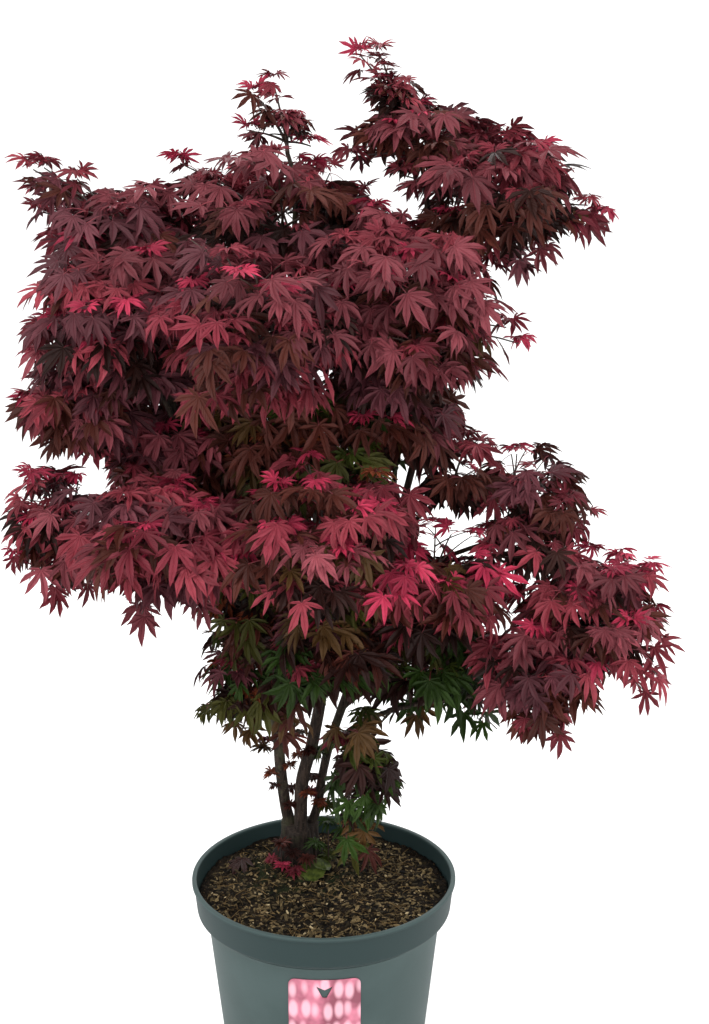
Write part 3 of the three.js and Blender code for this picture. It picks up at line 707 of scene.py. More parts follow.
def stem_bark():
    """Young maple bark: grey-brown streaks along the stem, green lichen, pale pores, painted shade near the
    soil.
    """
    bench = Bench("stem_bark")
    streak = bench.noise(60.0, 5.0, 0.65, (6.0, 6.0, 1.0))
    pore = bench.noise(380.0, 2.0, 0.5, (1.0, 1.0, 2.5))
    tone = bench.mix(streak.between(0.35, 0.65), "1a1411", "3d312a")
    lichen = bench.noise(26.0, 4.0, 0.6).between(0.54, 0.66)
    tone = bench.mix(lichen * 0.55, tone, "494a34")
    tone = bench.mix(pore.between(0.62, 0.72) * 0.7, tone, "5e5347")
    # Painted shade: the bark is drawn darker low down, near the soil.
    painted_foot_shade = 1 - bench.split(bench.place)[2].between(SOIL_LEVEL + 0.02, SOIL_LEVEL + 0.09)
    tone = bench.mix(painted_foot_shade * 0.7, tone, "0f0c08")
    return bench.surface(tone, 0.82, streak + pore * 0.4, 0.0012, Specular_IOR_Level=0.2)


def twig_bark():
    """Twig bark: smooth, dark red-brown going green in patches."""
    bench = Bench("twig_bark")
    patch = bench.noise(40.0, 3.0).between(0.4, 0.6)
    tone = bench.mix(patch, "2c1a18", "3c2a1e")
    return bench.surface(tone, 0.6, bench.noise(300.0, 3.0), 0.0004)


def stalk_skin():
    """Leaf stalks: smooth and wine red."""
    bench = Bench("stalk_skin")
    tone = bench.mix(bench.noise(50.0, 2.0).between(0.4, 0.6), "641f2a", "8a2f3a")
    return bench.surface(tone, 0.5, bench.noise(400.0, 2.0), 0.0002)


def leaf_skin(name, code):
    """Leaf: a plain tint, lighter or darker leaf by leaf, with a pale midrib that is partly the rib's own
    colour and partly painted highlight, fine side veins that slant out to the margin, and a bloom that dulls
    the shine."""
    bench = Bench(f"{name}_leaf")
    tint = colour(code)
    along, across, _ = bench.split(bench.node("ShaderNodeUVMap", {"uv_map": "along_across"}))
    tone = bench.mix(bench.dealt(), scaled(tint, 0.56), scaled(tint, 1.50))
    midrib = 1 - across.between(0.02, 0.16)
    veins = ((along * 60 - across * 14).sine() * 0.5 + 0.5) * (1 - midrib)
    # The midrib is paler partly in its own colour and partly as a painted highlight along it.
    tone = bench.mix(midrib * 0.40, tone, scaled(tint, 1.9))
    tone = bench.mix(veins * 0.28, tone, scaled(tint, 0.50))
    mottle = bench.noise(120.0, 3.0)
    tone = bench.mix(mottle.between(0.45, 0.70) * 0.40, tone, scaled(tint, 0.6))
    return bench.surface(tone, 0.46 + mottle * 0.16, veins * 0.4 - midrib * 0.6, 0.0006,
                         Specular_IOR_Level=0.18)


def seedling_skin():
    """Seedling leaf: soft olive green, paler in patches."""
    bench = Bench("seedling_skin")
    patch = bench.noise(160.0, 3.0)
    tone = bench.mix(patch.between(0.4, 0.65), "2c3612", "46501f")
    return bench.surface(tone, 0.5, patch, 0.0004, Specular_IOR_Level=0.2)


def label_print():
    """The label's face: pale petals in rows on a plum ground, a plain pattern under clear gloss."""
    bench = Bench("label_print")
    cell = bench.node("ShaderNodeTexVoronoi", {"feature": "F1"}, {
        "Vector": bench.stretched((1.0, 0.0, 0.45)), "Scale": 75.0, "Randomness": 0.35})
    petal = 1 - cell.between(0.25, 0.55)
    wash = bench.noise(22.0, 3.0)
    ground = bench.mix(wash.between(0.4, 0.62), "7c2f45", "c86f86")
    tone = bench.mix(petal * 0.8, ground, "eeb3c1")
    return bench.surface(tone, 0.3, petal, 0.0002, Coat_Weight=0.3, Coat_Roughness=0.15)


# ---------------------------------------------------------------- pot, soil and label

def wall_radius(z):
    """The pot's outer radius below the collar: it grows evenly from the foot to the collar's foot."""
    return FOOT_RADIUS + (WALL_TOP_RADIUS - FOOT_RADIUS) * z / COLLAR_FOOT


def rounded(corners, radii, steps=5):
    """A polyline with its inner corners rounded. Each corner gives way to a quadratic Bezier arc from a
    radius before it to a radius after it."""
    corner = corners[1:-1]
    reach = radii[:, None]
    start = corner + unit(corners[:-2] - corner) * reach
    end = corner + unit(corners[2:] - corner) * reach
    t = np.linspace(0, 1, steps)[None, :, None]
    arcs = bezier(t, start[:, None], corner[:, None], end[:, None])
    return np.vstack([corners[:1], arcs.reshape(-1, 2), corners[-1:]])


def make_pot(material):
    """A lathe: the foot, the drafted wall, the collar that steps out over it, and the rolled lip. Each
    inner corner comes with the length that rounds it."""
    step_foot = COLLAR_FOOT - COLLAR_STEP
    lip_foot = POT_HEIGHT - LIP
    corners = np.array([
        (FOOT_RADIUS - 0.012, 0, 0.004),
        (FOOT_RADIUS + 0.0005, 0.004, 0.003),
        (wall_radius(step_foot), step_foot, 0.004),
        (wall_radius(step_foot) + 0.0035, COLLAR_FOOT - 0.004, 0.003),
        (COLLAR_RADIUS, COLLAR_FOOT + 0.001, 0.0035),
        (RIM_RADIUS - 0.0022, lip_foot, 0.0015),
        (RIM_RADIUS, lip_foot + 0.0008, 0.0004),
        (RIM_RADIUS, POT_HEIGHT, 0.0019),
        (RIM_RADIUS - 2 * WALL, POT_HEIGHT, 0.0019),
        (RIM_RADIUS - 2 * WALL, lip_foot, 0.001),
        (COLLAR_RADIUS - WALL, COLLAR_FOOT + WALL, 0.003),
        (wall_radius(COLLAR_FOOT) - WALL, COLLAR_FOOT - WALL, 0.003),
        (wall_radius(FLOOR) - WALL, FLOOR, 0.002),
    ])
    profile = np.vstack([(0, 0), corners[:, :2], (0, FLOOR)])
    shell = lathe(rounded(profile, corners[:, 2]), POT_SEGMENTS)
    add_piece("pot_shell", *shell, material, "pot_plastic", replaces=["pot"])


def soil_height(x, y):
    """The soil's height: level, with low heaps, crumbs, and a mound that rises to the stems' foot."""
    mound = MOUND_HEIGHT * np.exp(-((x - FOOT[0]) ** 2 + (y - FOOT[1] + 0.01) ** 2) / MOUND_REACH ** 2)
    heaps = HEAP_HEIGHT * ripple(x * 55, y * 55, 3, 4)
    crumbs = CRUMB_HEIGHT * ripple(x * 420, y * 420, 4, 3)
    return SOIL_LEVEL - SOIL_DIP + mound + heaps + crumbs


def make_soil(material):
    """A disc on a polar grid, with the height of soil_height, and a skirt down inside the collar."""
    rings, columns = 90, 320
    edge = COLLAR_RADIUS - WALL - 0.0005
    radius = np.linspace(edge / rings, edge, rings)[:, None]
    angle = turns(columns)[None]
    x, y = radius * np.cos(angle), radius * np.sin(angle)
    top = np.stack([x, y, soil_height(x, y)], axis=-1).reshape(-1, 3)
    centre = np.array([[0, 0, soil_height(0.0, 0.0)]])
    skirt = np.stack([x[-1] * 0.985, y[-1] * 0.985, np.full(columns, SOIL_LEVEL - 0.02)], axis=-1)
    points = np.vstack([top, skirt, centre])
    fan = fan_faces(columns, 0, len(points) - 1)
    under = (np.arange(columns) + rings * columns)[None, ::-1]
    add_piece("soil_bed", points, [grid_faces(rings + 1, columns)[:, ::-1], fan, under], material,
              "soil_bark", replaces=["soil"])


def on_soil(rng, count, edge):
    """Places spread evenly over the soil's disc, on its surface."""
    radius = edge * np.sqrt(rng.uniform(0, 1, count))
    angle = rng.uniform(0, 2 * math.pi, count)
    x, y = radius * np.cos(angle), radius * np.sin(angle)
    return np.stack([x, y, soil_height(x, y)], axis=1)


def make_chips(name, seed, count, size, thin, material):
    """Bark chips: boxes with each corner moved at random, turned anyhow about Z and tipped a little."""
    rng = np.random.default_rng(seed)
    corner = np.array([(x, y, z) for z in (-1, 1) for y in (-1, 1) for x in (-1, 1)], dtype=float)
    long = rng.uniform(*size, (count, 1))
    scale = np.concatenate([long, long * rng.uniform(0.25, 0.5, (count, 1)),
                            long * rng.uniform(*thin, (count, 1))], axis=1) / 2
    boxes = corner[None] * scale[:, None] * rng.uniform(0.6, 1.15, (count, 8, 3))
    turn = rng.uniform(0, 2 * math.pi, count)
    tip = rng.normal(0, 0.38, count)
    along = np.stack([np.cos(turn) * np.cos(tip), np.sin(turn) * np.cos(tip), np.sin(tip)], axis=1)
    across = unit(np.cross(UP, along) + 0.3 * rng.normal(0, 1, (count, 3)) * [0, 0, 1])
    out = unit(np.cross(along, across))
    axes = np.stack([along, np.cross(out, along), out], axis=1)
    points = (on_soil(rng, count, CHIP_EDGE)[:, None] + boxes @ axes).reshape(-1, 3)
    sides = np.array([(0, 2, 3, 1), (4, 5, 7, 6), (0, 1, 5, 4), (2, 6, 7, 3), (0, 4, 6, 2), (1, 3, 7, 5)])
    faces = (sides[None] + 8 * np.arange(count)[:, None, None]).reshape(-1, 4)
    shade = np.repeat(rng.uniform(0, 1, count) ** 2.2, 8)
    piece = add_piece(name, points, [faces], material, "soil_bark", shade=shade)
    piece.data.shade_flat()


def make_fibres(material):
    """Coir fibres: thin arched threads that lie about on the soil."""
    rng = np.random.default_rng(31)
    count = FIBRES
    start = on_soil(rng, count, FIBRE_EDGE)
    turn = rng.uniform(0, 2 * math.pi, count)
    reach = rng.uniform(0.006, 0.020, (count, 1))
    way = bearing(turn, rng.uniform(-0.1, 0.35, count))
    threads = Arches(start + 0.001 * UP, start + reach * way, rng.uniform(0.0, 0.25, (count, 1)))
    steps, sides = 5, 3
    points, faces = sweep(threads.at(np.linspace(0, 1, steps)), FIBRE_RADIUS, sides)
    shade = np.repeat(rng.uniform(0, 1, count), steps * sides)
    add_piece("soil_fibres", points, faces, material, "soil_bark", shade=shade)


def make_seedling(material):
    """A seedling's three round leaves: polar grids that are cupped, notched at the stalk and scalloped
    round the edge, tilted to three sides."""
    rings, columns = 6, 28
    share = np.linspace(1 / rings, 1, rings)[:, None]
    angle = turns(columns)[None]
    edge = 1 + 0.05 * np.cos(9 * angle) - 0.35 * np.exp(-(angle / 0.30) ** 2) * share
    x, y = share * edge * np.cos(angle), share * edge * np.sin(angle)
    z = 0.22 * share ** 2 + 0.05 * np.cos(3 * angle) * share
    disc = np.vstack([np.stack([x, y, z], axis=-1).reshape(-1, 3), [[0, 0, 0]]])
    faces = [grid_faces(rings, columns)[:, ::-1], fan_faces(columns, 0, rings * columns)]
    parts = []
    for heading, tilt, size in ((-100, 0.55, 1.0), (-20, 0.35, 0.75), (160, 0.30, 0.65)):
        along, level, out = leaf_axes(np.radians(heading), tilt, np.array(0.0))
        middle = SEEDLING + SEEDLING_LEAF * size * 0.75 * along
        parts.append((middle + SEEDLING_LEAF * size * disc @ np.stack([-along, -level, out]), faces))
    stalk = Arches(above_soil(SEEDLING)[None], SEEDLING[None], 0.0)
    parts.append(sweep(stalk.at(np.linspace(0, 1, 3)), 0.0008, 6))
    add_piece("seedling", *together(parts), material, "leaf_green")


# ---------------------------------------------------------------- trunk, stems and boughs

def ridges(angle, t, around, along, seed):
    """Ripple wrapped round a limb, with its own pace round it and along it."""
    return ripple(np.cos(angle) * around + 0 * t, np.sin(angle) * around + along * t, seed)


def make_foot(material):
    """The flare: lobed at the soil, parting into three at the fork, with ridges of bark that run up it."""
    steps, sides = 40, 96
    t = np.linspace(0, 1, steps)[:, None]
    angle = turns(sides)[None]
    spread = (1 - t) ** 2
    lobes = (1 + FLARE_RELIEF * spread * np.cos(FLARE_LOBES * angle)
             + FORK_RELIEF * t * np.cos(3 * angle - math.pi / 2))
    radius = (FORK_RADIUS + (FLARE_RADIUS - FORK_RADIUS) * spread) * lobes
    radius = radius + 0.0011 * ridges(angle, t, 9, 3, 12)
    path = (FOOT + (FORK - FOOT) * t)[None]
    flare = sweep(path, radius[None], sides)
    add_piece("clump_foot", *flare, material, "stem_bark", replaces=["trunk_foot"])


def make_stems(material):
    """The stems: Catmull-Rom ways with an even taper, long ridges of bark and a swelling at each joint."""
    paths = {}
    for seed, (name, (thick, thin, way)) in enumerate(STEMS.items()):
        path = catmull_rom(way, STEM_STEPS)
        paths[name] = path
        t = np.linspace(0, 1, STEM_STEPS)[:, None]
        angle = turns(STEM_SIDES)[None]
        base = thick + (thin - thick) * t
        bark = 0.05 * ridges(angle, t, 4, 14, 20 + seed)
        joints = 0.09 * np.clip(np.sin(60 * t + 3 * seed), 0.72, 1) - 0.065
        limb_mesh = sweep(path[None], (base * (1 + bark + joints))[None], STEM_SIDES)
        add_piece(f"{name}_bark", *limb_mesh, material, "stem_bark", replaces=[name])
    return paths


def edge_towards(row, place, share):
    """The point from a mass's heart towards a place that is a share of the way out to its edge."""
    way = place - row["centre"]
    out = min(1.0, 1.0 / float(length(way / row["half"])[0]))
    return row["centre"] + way * out * share


def bough_path(start, end):
    """A cubic Bezier curve that leaves rising and bends over towards the mass."""
    way = end - start
    span = length(way)
    level = unit(way * [1, 1, 0])
    leave = unit(0.7 * level + UP)
    arrive = unit(0.65 * unit(way) + 0.35 * level)
    b, c = start + leave * 0.36 * span, end - arrive * 0.36 * span
    t = np.linspace(0, 1, BOUGH_STEPS)[:, None]
    return (1 - t) ** 3 * start + 3 * t * (1 - t) ** 2 * b + 3 * t ** 2 * (1 - t) * c + t ** 3 * end


def make_boughs(stem_paths, material):
    """Every bough, joined, and the point that each mass grows on from."""
    roots, paths, radii = {}, {}, []
    t = np.linspace(0, 1, BOUGH_STEPS)[:, None]
    angle = turns(BOUGH_SIDES)[None]
    for seed, (name, row) in enumerate(MASSES.items()):
        path = stem_paths[row["stem"]]
        root = path[np.argmax(path[:, 2] > row["height"])] if row["height"] else path[-1]
        if row["bough"]:
            bough = bough_path(root, edge_towards(row, root, BOUGH_REACH))
            relief = 0.06 * ridges(angle, t, 3, 9, 50 + seed)
            paths[f"bough_{name}"] = bough
            radii.append((row["bough"] + (BOUGH_TIP - row["bough"]) * t) * (1 + relief))
            root = bough[-1]
        roots[name] = root
    boughs = sweep(np.array(list(paths.values())), np.array(radii), BOUGH_SIDES)
    add_piece("boughs_bark", *boughs, material, "stem_bark", replaces=list(paths))
    return roots, np.vstack([*stem_paths.values(), *paths.values()])


# ---------------------------------------------------------------- foliage

def leaf_shapes(seed):
    """Seven-lobed blades as (shapes, points, 3), x along the middle lobe and z out of the upper face.
    A lobe's axis turns in towards the middle lobe as it goes out; its margins follow HALF_WIDTHS; the
    blade sags with the square of the way out and each lobe is folded up along its midrib."""
    rng = np.random.default_rng(seed)
    count, lobes = LEAF_SHAPES, len(LOBE_ANGLES)
    reach = LOBE_LENGTHS * rng.uniform(0.88, 1.08, (count, lobes))
    angle = LOBE_ANGLES * rng.uniform(0.80, 1.02, (count, 1)) + rng.normal(0, 0.06, (count, lobes))
    sag = rng.uniform(0.06, 0.30, (count, 1, 1))
    inward = rng.uniform(0.05, 0.22, (count, 1, 1))
    fold = rng.uniform(0.35, 0.95, (count, 1, 1))
    sway = rng.normal(0, 0.10, (count, lobes, 1))

    def lay(share, offset):
        out = reach[..., None] * share
        turned = angle[..., None] * (1 - inward * out) + sway * share ** 2
        side = offset * reach[..., None] * rng.uniform(0.82, 1.22, (count, lobes, len(share)))
        x = out * np.cos(turned) - side * np.sin(turned)
        y = out * np.sin(turned) + side * np.cos(turned)
        z = -sag * out ** 2 + fold * np.abs(side)
        return np.stack(np.broadcast_arrays(x, y, z), axis=-1).reshape(count, -1, 3)

    between = (angle[:, 1:] + angle[:, :-1]) / 2
    bay = SINUS * (reach[:, 1:] + reach[:, :-1]) / 2
    outer = np.stack([angle[:, 0] - 0.5, angle[:, -1] + 0.5], axis=1)
    notch_angle = np.concatenate([outer[:, :1], between, outer[:, 1:]], axis=1)
    heel = np.full((count, 1), HEEL)
    notch_reach = np.concatenate([heel, bay, heel], axis=1)
    notches = np.stack([notch_reach * np.cos(notch_angle), notch_reach * np.sin(notch_angle),
                        0.02 + 0 * notch_reach], axis=-1)
    middles = lay(np.append(STATIONS, 1.0), np.zeros(len(STATIONS) + 1))
    right = lay(STATIONS, -HALF_WIDTHS)
    left = lay(STATIONS, HALF_WIDTHS)
    return np.concatenate([np.zeros((count, 1, 3)), notches, middles, right, left], axis=1)


def leaf_faces():
    """Quads, triangles and (along, across) of the points of one blade of leaf_shapes. Each half of a lobe
    is a strip between its midrib, from the heart out, and its margin, from the notch out."""
    lobes, stations = len(LOBE_ANGLES), len(STATIONS)
    lobe = np.arange(lobes)[:, None]
    middle = 2 + lobes + np.arange(lobes * (stations + 1)).reshape(lobes, -1)
    margin = middle[-1, -1] + 1 + np.arange(lobes * stations).reshape(lobes, -1)
    left = np.hstack([2 + lobe, margin + lobes * stations])
    right = np.hstack([1 + lobe, margin])
    middle = np.hstack([0 * lobe, middle])
    quads = []
    for k in range(stations):
        quads.append(np.stack([middle[:, k], right[:, k], right[:, k + 1], middle[:, k + 1]], axis=1))
        quads.append(np.stack([middle[:, k], middle[:, k + 1], left[:, k + 1], left[:, k]], axis=1))
    tips = [
        np.stack([middle[:, -2], right[:, -1], middle[:, -1]], axis=1),
        np.stack([middle[:, -2], middle[:, -1], left[:, -1]], axis=1),
    ]
    along = np.append(STATIONS, 1.0)
    uv = np.concatenate([
        [(0.0, 0.0)],
        np.tile((SINUS, 1.0), (lobes + 1, 1)),
        np.tile(np.stack([along, 0 * along], axis=1), (lobes, 1)),
        np.tile(np.stack([STATIONS, np.ones(stations)], axis=1), (2 * lobes, 1)),
    ])
    return np.vstack(quads), np.vstack(tips), uv


def leaf_axes(azimuth, droop, roll):
    """Leaf axes: along points round to azimuth and down by droop, and the blade is rolled about it."""
    along = np.stack([np.cos(droop) * np.cos(azimuth), np.cos(droop) * np.sin(azimuth),
                      -np.sin(droop)], axis=-1)
    level = bearing(azimuth)[..., [1, 0, 2]] * [-1, 1, 1]
    out = np.cross(along, level)
    turn = roll[..., None]
    across = np.cos(turn) * level + np.sin(turn) * out
    return along, across, np.cross(along, across)


def ellipsoid_area(a, b, c):
    """Area from half sizes: 4 pi times the 1.6th root of the mean of (ab)^1.6, (ac)^1.6 and (bc)^1.6."""
    power = 1.6
    mean = ((a * b) ** power + (a * c) ** power + (b * c) ** power) / 3
    return 4 * math.pi * mean ** (1 / power)


class Foliage:
    """Twigs, stalks and leaves as they grow, kept as lists of arrays. row is the mass that grows, and rng
    its random numbers."""

    def __init__(self, limbs):
        self.limbs = limbs
        self.shapes = leaf_shapes(5)
        self.row, self.rng = None, None
        self.twigs, self.stalks, self.leaves = [], [], []
        away = GAPS[:, :3] - CAMERA_PLACE
        self.gap_ways = unit(away)
        self.gap_slopes = GAPS[:, 3] / length(away)[:, 0]

    def shows_sky(self, points):
        """True for each row of points where one stands in the line of sight through a gap."""
        away = points[:, :, None] - CAMERA_PLACE
        along = np.sum(away * self.gap_ways, axis=-1)
        off = length(away - along[..., None] * self.gap_ways)[..., 0]
        return (off < self.gap_slopes * along).any(axis=(1, 2))

    def fits(self, tips, slack):
        """True for leaves whose tips stay in the mass's space and in the whole plant's box, whose middle
        is clear of the limbs, and which leave the gaps open."""
        out = length((tips - self.row["centre"]) / self.row["half"])[..., 0].max(axis=1)
        low, high = np.array(cad_box)
        boxed = ((tips > low - PROUD) & (tips < high + PROUD)).all(axis=(1, 2))
        middle = tips.mean(axis=1)
        gap = length(middle[:, None] - self.limbs[None])[..., 0].min(axis=1)
        sky = self.shows_sky(np.concatenate([tips, middle[:, None]], axis=1))
        return (out < slack) & boxed & (gap > LIMB_CLEARANCE) & ~sky

    def deal(self, kind, count):
        """Tints for a number of sprays, at the odds of the mass's mix."""
        odds = MIXES[self.row["mix"]][kind]
        names = [list(TINTS).index(name) for name in odds]
        share = np.array(list(odds.values()))
        return self.rng.choice(names, count, p=share / share.sum())

    def grow(self, row, root, seed):
        """Sprays from a mass's axis to spots spread evenly through its outer part, side twigs on them,
        and single shoots to its tips. Each bears leaves in pairs, and sprays and side twigs end in a fan
        of them. Young leaves stand on the ends of sprays and shoots and of every third side twig."""
        self.row, self.rng = row, np.random.default_rng(seed)
        rng = self.rng
        count = max(5, round(SPRAYS_PER_AREA * ellipsoid_area(*row["half"]) * row["dense"]))
        heart = root + AXIS_REACH * (row["centre"] - root)
        axis = Arches(root[None], heart[None], AXIS_ARCH)
        k = np.arange(count)
        rise = 1 - (2 * k + 1) / count
        spots = bearing(k * GOLDEN_ANGLE + seed)
        spots = spots * np.sqrt(1 - rise ** 2)[:, None] + rise[:, None] * UP
        reach = np.maximum(row["half"] - LEAF_MARGIN, 0.45 * row["half"])
        ends = row["centre"] + reach * spots * rng.uniform(0.75, 1.12, (count, 1)) + LEAF_HANG * UP
        starts = axis.at(rng.uniform(0.3, 1.0, count))[0]
        sprays = Arches(starts, ends, SPRAY_ARCH * rng.uniform(0.4, 1.4, (count, 1)))

        base = sprays.at(SIDE_SHARES)
        way = sprays.way(SIDE_SHARES)
        across = unit(np.cross(way, UP)) * SIDE_TURNS[None, :, None]
        lean = unit(math.cos(SIDE_ANGLE) * way + math.sin(SIDE_ANGLE) * across
                    + rng.normal(0, 0.22, base.shape))
        side_reach = SIDE_LENGTH * sprays.span[:, None] * (1.15 - 0.6 * SIDE_SHARES[None, :, None])
        side_ends = base + lean * side_reach * rng.uniform(0.8, 1.2, (*base.shape[:2], 1))
        sides = Arches(base.reshape(-1, 3), side_ends.reshape(-1, 3), SIDE_ARCH)

        tips = row["tips"]
        shoots = Arches(np.repeat(axis.at([0.7])[0], len(tips), axis=0), tips, SIDE_ARCH)
        kinds = ("outer", "inner", "young")
        tints = [self.deal(kind, count) for kind in kinds]
        side_tints = [np.repeat(dealt, len(SIDE_SHARES)) for dealt in tints]
        shoot_tints = [self.deal(kind, len(tips)) for kind in kinds]
        for kind, arches in (("axis", axis), ("spray", sprays), ("side", sides), ("spray", shoots)):
            self.twigs.append((kind, arches))
        self.pairs(sprays, SPRAY_PAIRS, 1.0, tints)
        self.pairs(sides, SIDE_PAIRS, SIDE_SCALE, side_tints)
        self.fan(sprays, 1.0, tints)
        self.fan(sides, SIDE_SCALE, side_tints)
        self.cluster(sprays, YOUNG_SCALE, tints)
        third = slice(None, None, 3)
        some = Arches(sides.start[third], sides.end[third], SIDE_ARCH)
        self.cluster(some, SIDE_YOUNG_SCALE, [dealt[third] for dealt in side_tints])
        if len(tips):
            self.pairs(shoots, SHOOT_PAIRS, SHOOT_SCALE, shoot_tints, SHOOT_SLACK)
            self.cluster(shoots, YOUNG_SCALE, shoot_tints, SHOOT_SLACK)

    def pairs(self, arches, shares, scale, tints, slack=SLACK):
        """Grown leaves in opposite pairs at shares along each arch, each hanging out to its own side."""
        node = np.repeat(arches.at(shares)[:, :, None], 2, axis=2).reshape(-1, 3)
        way = np.repeat(arches.way(shares)[:, :, None], 2, axis=2).reshape(-1, 3)
        side = np.tile([-1.0, 1.0], len(node) // 2)[:, None]
        across = unit(np.cross(way, UP))
        lean = unit(0.6 * way + 0.8 * side * across + self.rng.normal(0, 0.25, way.shape))
        self.set_grown(node, lean, scale, tints, 2 * len(shares), slack)

    def fan(self, arches, scale, tints):
        """Grown leaves fanned out round the end of each arch."""
        node = np.repeat(arches.at([1.0])[:, 0], len(FAN_TURNS), axis=0)
        way = np.repeat(arches.way([1.0])[:, 0], len(FAN_TURNS), axis=0)
        turn = np.tile(FAN_TURNS, len(arches.start))
        lean = unit(bearing(np.arctan2(way[:, 1], way[:, 0]) + turn) + self.rng.normal(0, 0.2, way.shape))
        self.set_grown(node, lean, scale, tints, len(FAN_TURNS), SLACK)

    def set_grown(self, node, lean, scale, tints, each, slack):
        """Grown leaves, with the darker inner tint, painted shade, on those deep in the mass."""
        outer, inner = np.repeat(tints[0], each), np.repeat(tints[1], each)
        depth = length((node - self.row["centre"]) / self.row["half"])[:, 0]
        # Leaves deep in the mass take the darker inner tints: painted shade for the inside of the crown.
        deep = depth < INNER_SHARE * self.rng.uniform(0.5, 1.2, len(node))
        self.set_leaves(node, lean, scale, np.where(deep, inner, outer), slack)

    def cluster(self, arches, scale, tints, slack=SLACK):
        """Young leaves in a star on the end of each arch that reaches the mass's top or its side."""
        end = arches.at([1.0])[:, 0] + YOUNG_RISE * UP
        outside = end[:, 2] > self.row["centre"][2] - 0.35 * self.row["half"][2]
        end, tint = end[outside], tints[2][outside]
        if not len(end):
            return
        node = np.repeat(end, STAR_BLADES, axis=0)
        heading = (np.repeat(self.rng.uniform(0, 2 * math.pi, len(end)), STAR_BLADES)
                   + np.tile(np.arange(STAR_BLADES) * 2 * math.pi / STAR_BLADES, len(end)))
        lean = unit(bearing(heading, self.rng.uniform(0.3, 1.1, len(node))))
        self.set_leaves(node, lean, scale, np.repeat(tint, STAR_BLADES), slack, young=True)

    def set_leaves(self, node, lean, scale, tints, slack, young=False):
        """One leaf a node: a stalk that leans out and sags, and a blade that droops more the lower it
        hangs in its mass. Leaves that don't fit are skipped."""
        row, rng = self.row, self.rng
        count = len(node)
        size = LEAF_LENGTH * row["leaf"] * scale * rng.uniform(0.72, 1.16, count)
        stalk = size[:, None] * rng.uniform(0.35, 0.80, (count, 1)) * (YOUNG_STALK if young else 1.0)
        foot = node + lean * stalk - STALK_SAG * stalk * UP
        rise = np.clip((foot[:, 2] - row["centre"][2]) / row["half"][2], -1, 1)
        azimuth = np.arctan2(lean[:, 1], lean[:, 0]) + rng.normal(0, 0.40, count)
        droop = (row["droop"] - DROOP_CHANGE * rise + rng.normal(0, 0.30, count)
                 - (YOUNG_LIFT if young else 0))
        outwards = np.where(foot[:, 1] < row["centre"][1], 1, -1)
        roll = FACE_LIGHT * np.cos(azimuth) * outwards + rng.normal(0, 0.30, count)
        blade = self.blades(foot, azimuth, droop, roll, size, rng)
        first_middle = 2 + len(LOBE_ANGLES)
        middles = first_middle + np.arange(len(LOBE_ANGLES) * (len(STATIONS) + 1))
        ends = middles[len(STATIONS)::len(STATIONS) + 1]
        keep = self.fits(blade[:, ends[1:-1]], slack)
        keep[keep] = ~self.shows_sky(blade[keep][:, middles])
        self.stalks.append(Arches(node[keep], foot[keep], STALK_ARCH))
        self.leaves.append((blade[keep], tints[keep], rng.uniform(0, 1, count)[keep]))

    def blades(self, feet, azimuth, droop, roll, size, rng):
        """Blades of random shapes at their feet, each turned by leaf_axes."""
        axes = np.stack(leaf_axes(azimuth, droop, roll), axis=1)
        shape = rng.integers(0, LEAF_SHAPES, len(feet))
        return feet[:, None] + np.einsum("npk,nkx->npx", self.shapes[shape] * size[:, None, None], axes)

    def star(self, end, blades, scale, tint, rng):
        """A few small leaves all round one point, which nothing keeps away from the limbs."""
        heading = rng.uniform(0, 2 * math.pi) + np.arange(blades) * 2 * math.pi / blades
        size = LEAF_LENGTH * scale * rng.uniform(0.8, 1.2, blades)
        self.lay(np.tile(end, (blades, 1)), heading, rng.uniform(-0.5, 0.6, blades), size, tint, rng)

    def lay(self, places, azimuth, droop, size, tint, rng):
        """Leaves put down at places, each with its heading, droop and size."""
        count = len(places)
        blade = self.blades(places, azimuth, droop, rng.normal(0, 0.2, count), size, rng)
        self.leaves.append((blade, np.full(count, list(TINTS).index(tint)), rng.uniform(0, 1, count)))

    def side_twig(self, root, end, lift):
        """One twig to a place, as thick as a spray's side twig."""
        self.twigs.append(("side", Arches(root[None], end[None], lift)))

    def dress_foot(self, stem_paths):
        """Tufts on the stems, sprouts round the foot, and the leaves that lie on the soil."""
        rng = np.random.default_rng(77)
        for stem, height, heading, reach, scale, tint in TUFTS:
            path = stem_paths[stem]
            root = path[np.argmax(path[:, 2] > height / 1000)]
            end = root + (0.8 * (reach / 1000) + STEMS[stem][0]) * bearing(math.radians(heading), 0.35)
            self.side_twig(root, end, 0.05)
            self.star(end, TUFT_BLADES, scale, tint, rng)
        for place, scale, tint in SPROUTS:
            end = np.array(place) / 1000
            self.side_twig(above_soil(end), end, 0.0)
            self.star(end, SPROUT_BLADES, scale, tint, rng)
        for place, heading, droop, size, tint in FALLEN:
            end = np.array(place) / 1000
            if droop > FALLEN_DROOP:
                self.side_twig(end * [1, 1, 0] + [0, 0.006, SOIL_LEVEL], end, 0.10)
            angles = np.radians([[heading], [droop]])
            self.lay(end[None], angles[0], angles[1], np.array([size / 1000]), tint, rng)

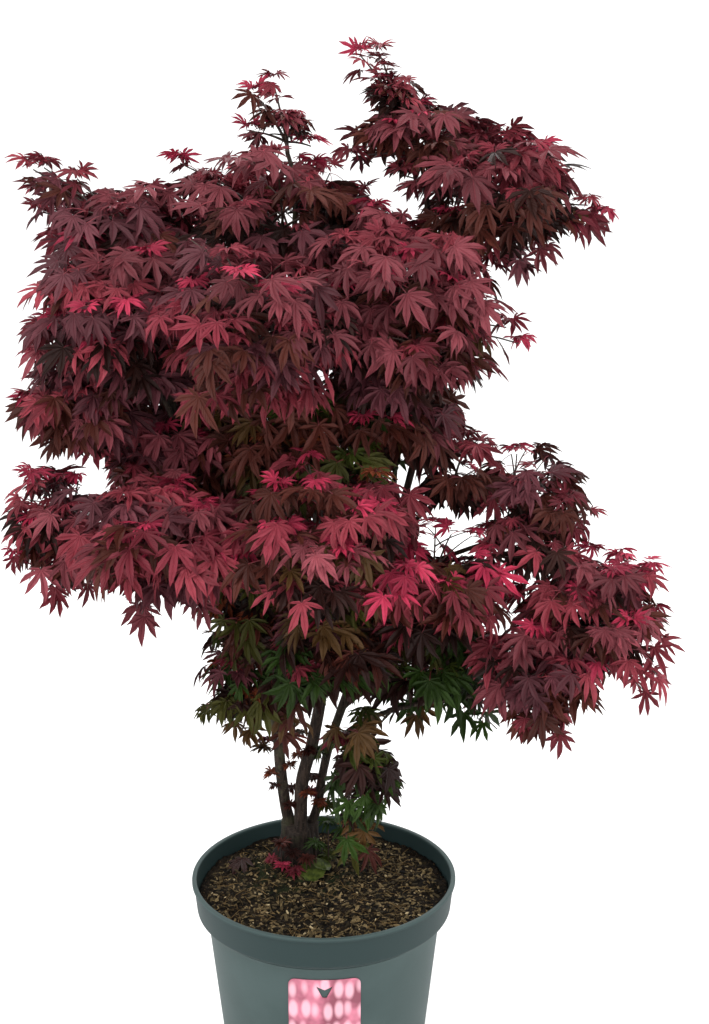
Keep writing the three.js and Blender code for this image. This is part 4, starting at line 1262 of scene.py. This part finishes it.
    def make(self, bark, stalk_material, skins):
        """The joined pieces: twigs, stalks, and the leaves of each tint."""
        masses = [f"foliage_{name}" for name in MASSES]
        parts = []
        for kind, arches in self.twigs:
            thick, thin, steps, sides = TWIG_GAUGES[kind]
            t = np.linspace(0, 1, steps)
            parts.append(sweep(arches.at(t), (thick + (thin - thick) * t)[None, :, None], sides))
        add_piece("twigs", *together(parts), bark, "stem_bark", replaces=masses)
        t = np.linspace(0, 1, 4)
        parts = [sweep(arches.at(t), STALK_RADIUS, 3) for arches in self.stalks if len(arches.start)]
        add_piece("leaf_stalks", *together(parts), stalk_material, "leaf_rose", replaces=masses)
        blades, tints, shades = (np.concatenate(column) for column in zip(*self.leaves))
        quads, tips, uv = leaf_faces()
        for index, (name, (_, slot)) in enumerate(TINTS.items()):
            chosen = blades[tints == index]
            step = (np.arange(len(chosen)) * chosen.shape[1])[:, None, None]
            faces = [(block[None] + step).reshape(-1, block.shape[1]) for block in (quads, tips)]
            piece = add_piece(f"leaves_{name}", chosen.reshape(-1, 3), faces, skins[name], slot,
                              uv=np.tile(uv, (len(chosen), 1)),
                              shade=np.repeat(shades[tints == index], chosen.shape[1]), replaces=masses)
            piece.data.shade_flat()


# ---------------------------------------------------------------- the studio

def make_studio():
    """The camera, a pale floor under a pale sky, a broad key light from the upper left and softer ones."""
    camera_data = bpy.data.cameras.new("camera")
    camera_data.lens = CAMERA_LENS
    camera_data.sensor_width = SENSOR_WIDTH
    camera = link("camera", camera_data)
    camera.location = CAMERA_PLACE
    camera.rotation_euler = (math.radians(90 - CAMERA_TILT), 0, math.radians(-CAMERA_TURN))
    bpy.context.scene.camera = camera

    world = bpy.data.worlds.new("studio_sky")
    world.use_nodes = True
    sky = world.node_tree.nodes["Background"].inputs
    sky["Color"].default_value = (1.0, 1.0, 1.0, 1.0)
    sky["Strength"].default_value = SKY_STRENGTH
    bpy.context.scene.world = world
    bpy.context.scene.view_settings.view_transform = "Standard"

    bench = Bench("floor_paint")
    grain = bench.noise(3.0, 3.0)
    tone = bench.mix(grain, "fcfcfc", "f9f9f9")
    mesh = bpy.data.meshes.new("floor")
    corners = [(x * FLOOR_HALF, y * FLOOR_HALF, 0) for x, y in ((-1, -1), (1, -1), (1, 1), (-1, 1))]
    mesh.from_pydata(corners, [], [(0, 1, 2, 3)])
    mesh.materials.append(bench.surface(tone, 0.9, grain, 0.0005))
    floor = link("floor", mesh)

    for name, (place, size, power) in LIGHTS.items():
        data = bpy.data.lights.new(name, "AREA")
        data.shape, data.size, data.energy = "DISK", size, power
        lamp = link(name, data)
        lamp.location = place
        target = LIT_PLACE - place
        heading = math.atan2(target[1], target[0])
        down = math.atan2(-target[2], math.hypot(target[0], target[1]))
        lamp.rotation_euler = (math.pi / 2 - down, 0, heading - math.pi / 2)


def make_label(material):
    """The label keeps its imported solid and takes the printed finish."""
    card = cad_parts["label"]
    card.data.materials.clear()
    card.data.materials.append(material)


make_studio()
make_pot(pot_plastic())
make_soil(soil_crumb())
for name, (seed, count, size, thin, *wood) in CHIPS.items():
    make_chips(name, seed, count, size, thin, chip_wood(*wood))
make_fibres(chip_wood("coir", "3a2c1c", "8a7048"))
make_seedling(seedling_skin())
make_label(label_print())
bark = stem_bark()
make_foot(bark)
stem_paths = make_stems(bark)
roots, limb_points = make_boughs(stem_paths, bark)
foliage = Foliage(limb_points)
for seed, (name, row) in enumerate(MASSES.items(), start=1):
    foliage.grow(row, roots[name], seed)
foliage.dress_foot(stem_paths)
foliage.make(twig_bark(), stalk_skin(), {name: leaf_skin(name, code) for name, (code, _) in TINTS.items()})
